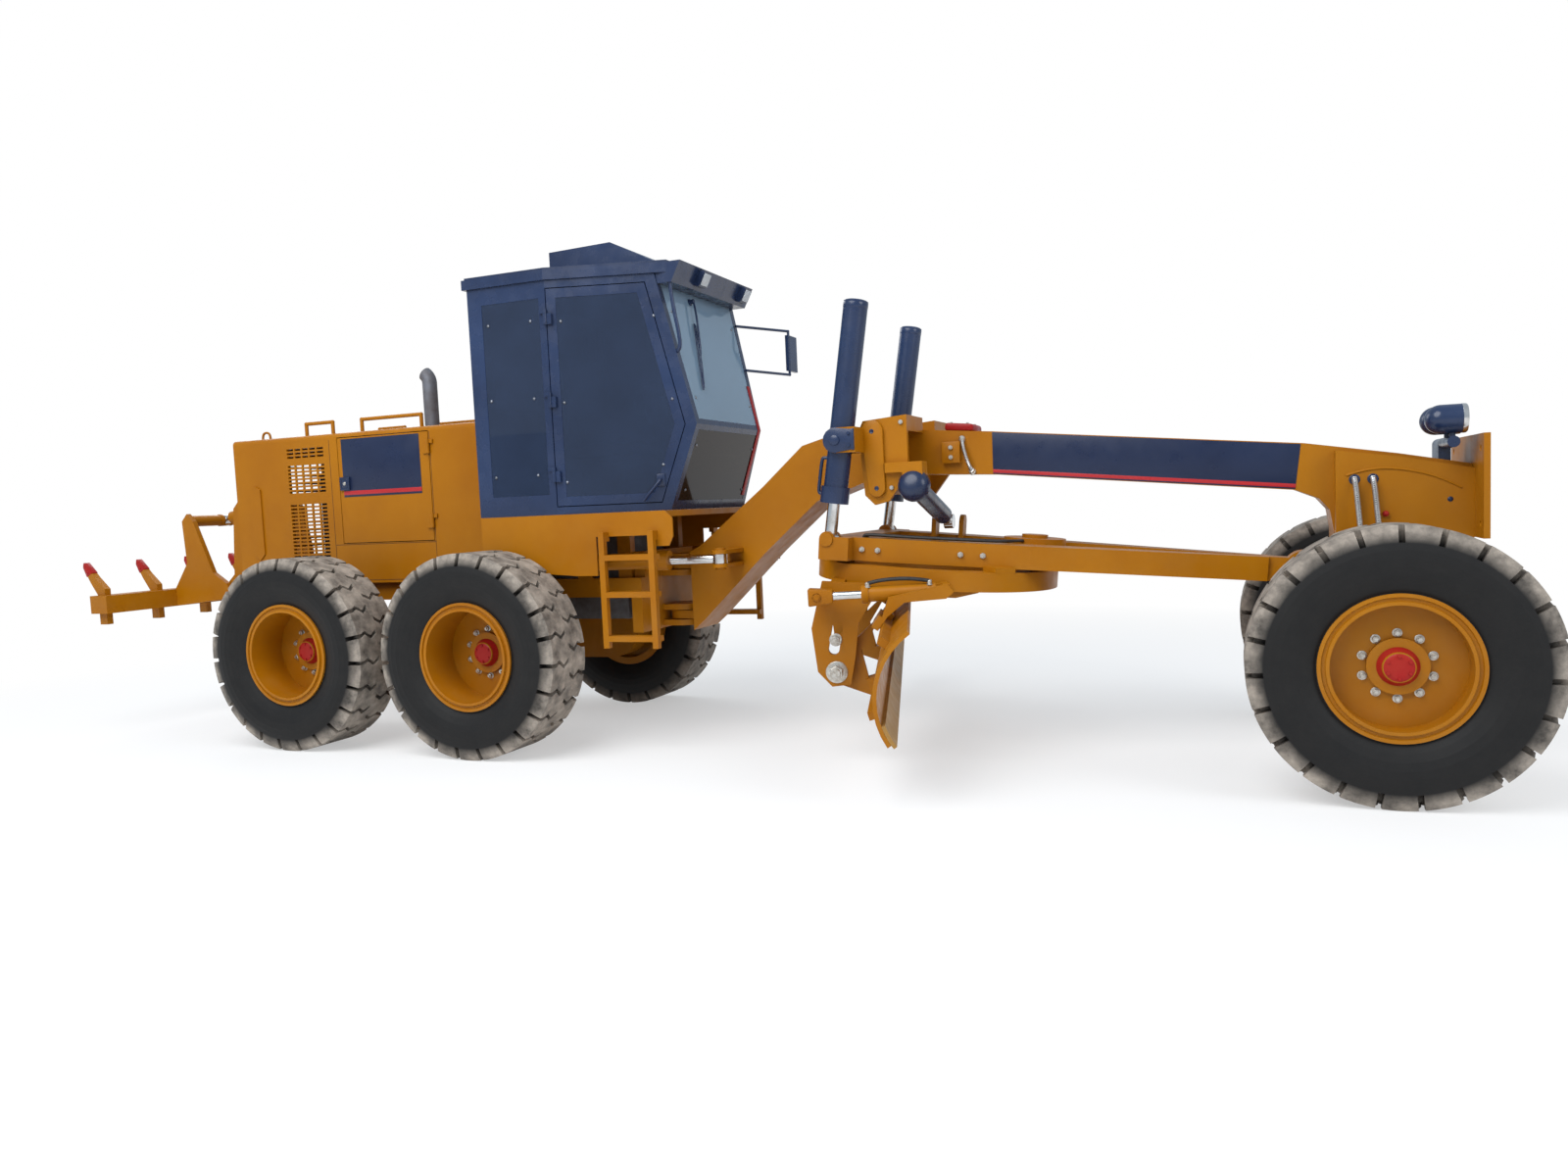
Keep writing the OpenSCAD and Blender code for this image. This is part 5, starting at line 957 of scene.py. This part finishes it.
def hose(name, line, radius, coil_pitch=0.0, coil_deep=0.0):
    """Hose along a line; with a pitch its surface is the rounded turns of a coiled wire guard."""
    lengths = [0.0]
    for a, b in zip(line, line[1:]):
        lengths.append(lengths[-1] + (b - a).length)
    rings = round(lengths[-1] / (coil_pitch * MM) * 4) if coil_pitch else len(line) - 1
    pick()
    bpy.ops.mesh.primitive_grid_add(x_subdivisions=rings, y_subdivisions=HOSE_AROUND, size=2)
    piece = bpy.context.object
    piece.name = name
    frames = []
    aside = (line[1] - line[0]).orthogonal().normalized()
    span = 0
    for k in range(rings + 1):
        reach = lengths[-1] * k / rings
        while span < len(line) - 2 and lengths[span + 1] < reach:
            span += 1
        step = line[span + 1] - line[span]
        centre = line[span] + step * ((reach - lengths[span]) / step.length)
        tangent = step.normalized()
        aside = (aside - tangent * aside.dot(tangent)).normalized()
        wave = 0.5 - 0.5 * math.cos(2 * math.pi * k / 4) if coil_pitch else 0.0
        frames.append((centre, aside.copy(), tangent.cross(aside), (radius - coil_deep * wave) * MM))
    for vertex in piece.data.vertices:
        centre, first, second, reach = frames[round((vertex.co.x + 1) / 2 * rings)]
        angle = math.pi * (vertex.co.y + 1)
        vertex.co = centre + (first * math.cos(angle) + second * math.sin(angle)) * reach
    bpy.ops.object.mode_set(mode="EDIT")
    bpy.ops.mesh.select_all(action="SELECT")
    bpy.ops.mesh.remove_doubles(threshold=0.00005)
    bpy.ops.mesh.fill_holes(sides=0)
    bpy.ops.mesh.normals_make_consistent(inside=False)
    bpy.ops.object.mode_set(mode="OBJECT")
    finish_shading(piece, 60)
    return piece


guard_wire = bare_metal("guard_wire", (0.60, 0.61, 0.63, 1), (0.36, 0.35, 0.33, 1), 0.9, 0.28)
COIL_PITCH, COIL_DEEP = 10, 3.5
DROP_ROUTE = [
    (3812, -150, 1934), (3816, -170, 1912), (3822, -185, 1888), (3830, -195, 1860), (3839, -200, 1830),
    (3848, -200, 1800), (3857, -196, 1772), (3865, -187, 1748), (3871, -172, 1728), (3876, -152, 1714),
]
DROP_R = 13
drop_line = smooth_line([at(*point) for point in DROP_ROUTE])
drop_hose = hose("junction_hose", drop_line, DROP_R, COIL_PITCH, COIL_DEEP)
finished(drop_hose, guard_wire, "front_frame")
FERRULE = [(12, 26), (17, 24), (17, 8), (21, 6), (21, -4)]
ferrules = [
    turned("ferrule", FERRULE, drop_line[k], drop_line[k + step] - drop_line[k], 20)
    for k, step in ((2, 3), (-3, -3))
]
finished(joined("junction_ferrules", ferrules), zinc, "front_frame")

# Axle hoses: four hydraulic hoses in coiled wire guards, two a side, that leave holes in the
# bolster and drop to the front axle.
HOSE_ROUTE = [(5990, 226, 1574), (5991, 244, 1562), (5994, 258, 1535), (5998, 268, 1490), (6004, 280, 1410),
              (6012, 292, 1310), (6019, 299, 1220), (6024, 301, 1150), (6024, 296, 1070), (6016, 280, 980),
              (6004, 260, 895), (5996, 248, 850), (5990, 240, 808)]
HOSE_STEP, HOSE_R = 90, 16
for side, sign in SIDES:
    for k in range(2):
        line = smooth_line([at(x + k * HOSE_STEP, sign * y, z) for x, y, z in HOSE_ROUTE])
        guarded = hose(f"axle_hose_{side}_{k + 1}", line, HOSE_R, COIL_PITCH, COIL_DEEP)
        finished(guarded, guard_wire, "front_frame")
        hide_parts("axle_hoses")

# Bolster fittings: grommets round the hose holes, a raised weld line along the side plate, a red
# ball fitting below it and a grease plug near the front.
BOLSTER_SIDE = 230
GROMMET_PROFILE, PLUG_PROFILE = [(17, 6), (24, 6), (28, 3), (28, 0)], [(0, 5), (8, 5), (11, 3), (14, 0)]
FITTING_PROFILE = [(0, 32), (9, 30), (15, 24), (17, 16), (14, 8), (10, 6), (10, 0)]
HOLE_X, HOLE_Z = 5991, 1566
WELD_LINE = [(5950, 1590), (6040, 1618), (6160, 1622), (6280, 1600), (6400, 1560), (6500, 1500)]
for side, sign in SIDES:
    out = Vector((0, sign, 0))
    holes = [at(HOLE_X + k * HOSE_STEP, sign * BOLSTER_SIDE, HOLE_Z) for k in range(2)]
    grommets = [turned("grommet", GROMMET_PROFILE, hole, out, 24) for hole in holes]
    plug = turned("grease_plug", PLUG_PROFILE, at(6447, sign * BOLSTER_SIDE, 1440), out, 20)
    grommets = joined("bolster_grommets_" + side, grommets + [plug])
    finished(grommets, black_enamel, "front_frame")
    weld = tube("bolster_weld_" + side, [at(x, sign * (BOLSTER_SIDE + 1), z) for x, z in WELD_LINE], 6)
    finished(weld, yellow_enamel, "front_frame")
    ball_seat = at(6140, sign * BOLSTER_SIDE, 1374)
    fitting = turned("bolster_fitting_" + side, FITTING_PROFILE, ball_seat, out, 24)
    finished(fitting, red_enamel, "front_frame")

# Headlamps: black steel bowls, each with a bright rim rolled over a fluted clear lens that faces
# forwards.
LAMP_FACE_X, FRONT_LAMP_Z = 6495, 1860
RIM_LINE = [(64, 1), (66, 9), (71, 10), (75.5, 5), (76.5, -4), (76.5, -14), (75.3, -15)]
LENS_LINE = [(0, 16), (24, 15), (46, 11), (60, 6), (65, 1.5)]
lamp_rims, lamp_lenses = [], []
for y in (-330, -170):
    face = at(LAMP_FACE_X, y, FRONT_LAMP_Z)
    lamp_rims.append(turned("lamp_rim", RIM_LINE, face, (1, 0, 0), 40))
    lamp_lenses.append(turned("lamp_lens", LENS_LINE, face, (1, 0, 0), 40))
finished(joined("headlamp_rims", lamp_rims), chrome, "front_frame")
finished(joined("headlamp_lenses", lamp_lenses), lens_glass, "front_frame")

# Lift cylinders: rounded end caps on the two barrels and a steel feed pipe behind each, from the
# yoke to the gland, black like the barrels. The yokes have black bolted covers on the outside.
TRUNNION, LIFT_EYE, LIFT_UP = (3174, 620, 1936), (3080, 620, 1345), 830
CAP_LINE = [(0, 12), (46, 11), (62, 7), (71, 0), (75, -10), (75, -40), (74.3, -42)]
YOKE_FACE, YOKE_COVER_T, YOKE_R = 735, 7, 75
YOKE_LINE = [(3174, 1861), (3270, 1875), (3296, 1872), (3296, 2000), (3270, 1997), (3174, 2011)]
ROUND_STEPS = 8
round_end = [(TRUNNION[0] + YOKE_R * math.cos(a), TRUNNION[2] + YOKE_R * math.sin(a))
             for a in (math.pi * (0.5 + k / ROUND_STEPS) for k in range(1, ROUND_STEPS))]
PIPE_LINE = [
    (110, 66), (110, 98), (122, 106), (160, 108), (230, 108), (290, 108), (318, 106), (330, 96), (330, 80),
]
PIPE_R, TRUNNION_END = 11, [(0, 12), (22, 12), (30, 8), (33, 0)]
for side, sign in SIDES:
    trunnion, lift_eye = (at(p[0], sign * p[1], p[2]) for p in (TRUNNION, LIFT_EYE))
    down = (lift_eye - trunnion).normalized()
    behind = Vector((down.z, 0, -down.x))
    cap = turned("lift_cap", CAP_LINE, trunnion - down * LIFT_UP * MM, -down, 40)
    pipe = tube("lift_pipe", [trunnion + (down * s + behind * d) * MM for s, d in PIPE_LINE], PIPE_R)
    fittings = joined("lift_cylinder_fittings_" + side, [cap, pipe])
    finished(fittings, black_enamel, "lift_barrels")
    yoke = side_sheet("yoke_cover", YOKE_LINE + round_end, sign, YOKE_FACE + 0.4, YOKE_COVER_T, 2)
    cover_face = sign * (YOKE_FACE + YOKE_COVER_T)
    end_place = at(TRUNNION[0], cover_face, TRUNNION[2])
    ends = [turned("trunnion_end", TRUNNION_END, end_place, (0, sign, 0), 24)]
    ends += [hex_head(at(3262, cover_face, z), (0, sign, 0), 11, 9) for z in (1900, 1972)]
    finished(joined("yoke_cover_" + side, [yoke] + ends), black_enamel, "front_frame")

# Saddle cheeks: a rounded arm plate on the outside of each cheek with two plugged holes, and the
# clamp bolts beside it.
CHEEK_FACE, CHEEK_ARM_T = 540, 26
LOBE_HIGH, LOBE_LOW, LOBE_HIGH_R, LOBE_LOW_R = (3352, 1985), (3372, 1640), 68, 52
LOBE_STEPS, CHEEK_BOLTS = 12, ((3460, 1640), (3530, 1760), (3530, 2030))
HOLE_PROFILE = [(0, 1), (9, 1), (12, 2.5), (14, 1.5), (14, 0)]


def lobe(centre, radius, start):
    """Half circle of points round a lobe's centre in X and Z."""
    angles = [start + math.pi * k / LOBE_STEPS for k in range(LOBE_STEPS + 1)]
    return [(centre[0] + radius * math.cos(a), centre[1] + radius * math.sin(a)) for a in angles]


arm_line = lobe(LOBE_HIGH, LOBE_HIGH_R, 0) + lobe(LOBE_LOW, LOBE_LOW_R, math.pi)
for side, sign in SIDES:
    out = Vector((0, sign, 0))
    arm = side_sheet("cheek_arm_" + side, arm_line, sign, CHEEK_FACE + 0.3, CHEEK_ARM_T, 5)
    finished(arm, yellow_enamel, "front_frame")
    bolts = [hex_head(at(x, sign * CHEEK_FACE, z), out, 15, 13, 5) for x, z in CHEEK_BOLTS]
    finished(joined("saddle_bolts_" + side, bolts), zinc, "front_frame")
    places = [at(x, sign * (CHEEK_FACE + CHEEK_ARM_T), z) for x, z in (LOBE_HIGH, LOBE_LOW)]
    holes = [turned("cheek_hole", HOLE_PROFILE, place, out, 24) for place in places]
    finished(joined("cheek_plugs_" + side, holes), black_enamel, "front_frame")

# Centre-shift housing: a pressed black dome bolted under the right bracket, open towards the
# cylinder whose eye it shields.
SHIFT_CAP, SHIFT_EYE = at(3600, -520, 1640), at(3600, 330, 1406)
DOME_LINE = [
    (0, 104), (38, 101), (68, 90), (88, 68), (97, 40), (98, 12), (92, 12), (91, 38), (82, 64), (63, 84),
    (36, 94), (0, 97),
]
dome = turned("shift_housing", DOME_LINE, SHIFT_CAP, SHIFT_CAP - SHIFT_EYE, 48)
finished(dome, black_enamel, "front_frame")

# Tip cylinder fittings: a forged clevis on the rod's eye, a collar and two rubber feed hoses on
# the barrel, and the big nuts of the arms' pivots.
BALL, DRAWBAR_TILT, CIRCLE_BACK, BLADE_ANGLE = (5747, 0, 1068), math.radians(5), 2155, math.radians(15)


def on_drawbar(x, y, z):
    """A place in the drawbar's own frame, which starts at its ball and rises to the rear."""
    cos, sin = math.cos(DRAWBAR_TILT), math.sin(DRAWBAR_TILT)
    return at(BALL[0] + x * cos + z * sin, BALL[1] + y, BALL[2] - x * sin + z * cos)


def on_circle(x, y, z):
    """A place in the circle's frame: forwards across the blade, along it and up."""
    cos, sin = math.cos(BLADE_ANGLE), math.sin(BLADE_ANGLE)
    return on_drawbar(x * cos - y * sin - CIRCLE_BACK, x * sin + y * cos, z)


TIP_ANCHOR, TIP_LUG, TIP_Y, TIP_PIVOT, ARM_FACE = (-700, -273), (38, -195), -862, (-577, -735), -720
outward = (on_circle(0, -1, 0) - on_circle(0, 0, 0)).normalized()
tip_line = Vector((TIP_LUG[0] - TIP_ANCHOR[0], 0, TIP_LUG[1] - TIP_ANCHOR[1])).normalized()
tip_up = Vector((-tip_line.z, 0, tip_line.x))


def by_tip(along, aside, up):
    """A place by the tip cylinder: from its rod's eye towards the lug, off its middle and above it."""
    flat = Vector((TIP_ANCHOR[0], TIP_Y + aside, TIP_ANCHOR[1])) + tip_line * along + tip_up * up
    return on_circle(*flat)


CLEVIS_HALF, CLEVIS_OUT, CLEVIS_NOSE, CLEVIS_TAPER = 52, 50, 92, 38
COLLAR_LINE = [(45.4, -34), (52, -34), (54, -30), (54, 4), (50, 8), (27, 8)]
clevis_corners = [
    (-CLEVIS_HALF, -CLEVIS_HALF), (CLEVIS_NOSE, -CLEVIS_TAPER), (CLEVIS_NOSE, CLEVIS_TAPER),
    (-CLEVIS_HALF, CLEVIS_HALF),
]
clevis_line = [by_tip(along, CLEVIS_OUT, up) for along, up in clevis_corners]
clevis = plate("tip_clevis", clevis_line, outward * 2 * CLEVIS_OUT * MM, 9)
clevis_nut = hex_head(by_tip(0, -CLEVIS_OUT, 0), outward, 24, 14, 8)
finished(joined("tip_clevis", [clevis, clevis_nut]), yellow_enamel, "tip_rod")
to_eye = by_tip(0, 0, 0) - by_tip(1, 0, 0)
collar = turned("tip_collar", COLLAR_LINE, by_tip(264, 0, 0), to_eye, 32)
finished(collar, yellow_enamel, "tip_barrel")

RUBBER_TONES = (0.010, 0.010, 0.011, 1), (0.028, 0.027, 0.026, 1)
rubber = patchy("hose_rubber", *RUBBER_TONES, 40.0, 5, 0.42, 0.7, grain=(160.0, 3, 0.0008))
FEED_ROUTE = [
    (296, 62), (312, 66), (332, 70), (356, 74), (384, 77), (414, 79), (444, 80), (474, 80), (504, 79),
    (534, 77), (562, 74), (588, 70), (612, 66), (632, 62), (648, 58),
]
PORT_PROFILE = [(0, 24), (11, 24), (14, 20), (14, 4), (18, 2), (18, -4)]
FEED_R = 10
for k, aside in enumerate((-18, 14)):
    line = smooth_line([by_tip(a, aside, u) for a, u in FEED_ROUTE], 4)
    feed = hose(f"tip_hose_{k + 1}", line, FEED_R)
    finished(feed, rubber, "tip_barrel")
    barrel_up = by_tip(0, 0, 1) - by_tip(0, 0, 0)
    ports = [
        turned("feed_port", PORT_PROFILE, by_tip(along, aside, up), barrel_up, 20)
        for along, up in ((294, 44), (650, 40))
    ]
    finished(joined(f"feed_ports_{k + 1}", ports), zinc, "tip_barrel")

pivot_nuts = []
for sign in (-1, 1):
    side_out = outward * -sign
    for x, z, size in ((TIP_PIVOT[0], TIP_PIVOT[1], 44), (-592, -540, 26)):
        stand = on_circle(x, sign * -ARM_FACE, z)
        washer_line = [(0, 6), (size * 1.35, 6), (size * 1.5, 3), (size * 1.5, 0)]
        pivot_nuts.append(turned("arm_washer", washer_line, stand, side_out, 28))
        pivot_nuts.append(hex_head(stand + side_out * 6 * MM, side_out, size, size * 0.6, 10))
finished(joined("arm_nuts", pivot_nuts), zinc, "blade_circle")

# Drawbar fittings: bolts that hold the guide shoes, along both beams, and two black steel lines
# on the right beam that feed the circle's motor.
BEAM_OUT, SHOE_X = 600, (-2480, -2380, -1890, -1760)
shoe_bolts = []
for sign in (-1, 1):
    for x in SHOE_X:
        y = BEAM_OUT if x < -CIRCLE_BACK - 200 else BEAM_OUT - (x + CIRCLE_BACK + 200) * 150 / 865
        across = (on_drawbar(0, sign, 0) - on_drawbar(0, 0, 0)).normalized()
        shoe_bolts.append(hex_head(on_drawbar(x, sign * y, -10), across, 19, 15, 7))
finished(joined("shoe_bolts", shoe_bolts), zinc, "drawbar")
LINE_ROUTE = [
    (-2500, -520, 40), (-2500, -520, 72), (-2470, -520, 78), (-2300, -518, 76), (-2100, -500, 76),
    (-1900, -470, 76), (-1720, -420, 76), (-1640, -330, 76), (-1590, -200, 76), (-1560, -110, 76),
    (-1556, -76, 76),
]
LINE_STEP, LINE_R = 30, 10
feed_lines = []
for k in range(2):
    route = [on_drawbar(x + 0.4 * k * LINE_STEP, y + k * LINE_STEP, z) for x, y, z in LINE_ROUTE]
    feed_lines.append(tube("motor_line", route, LINE_R))
finished(joined("motor_lines", feed_lines), rubber, "drawbar")

# Ripper points: forged slip-on teeth, sprayed red, pushed over the ends of the five shanks and
# held by a cross pin.
POINT_LINE = [(-3082, 1352), (-3091, 1312), (-3056, 1236), (-2998, 1268)]
POINT_HALF, PIN_PROFILE = 29, [(0, 4), (9, 4), (11, 2), (11, 0)]
for k, y in enumerate((-920, -460, 0, 460, 920)):
    tooth = crosswise("ripper_point", POINT_LINE, POINT_HALF, 5, y)
    tooth_pin = turned("point_pin", PIN_PROFILE, at(-3046, y - POINT_HALF, 1275), (0, -1, 0), 16)
    finished(joined(f"ripper_point_{k + 1}", [tooth, tooth_pin]), red_enamel, "ripper")
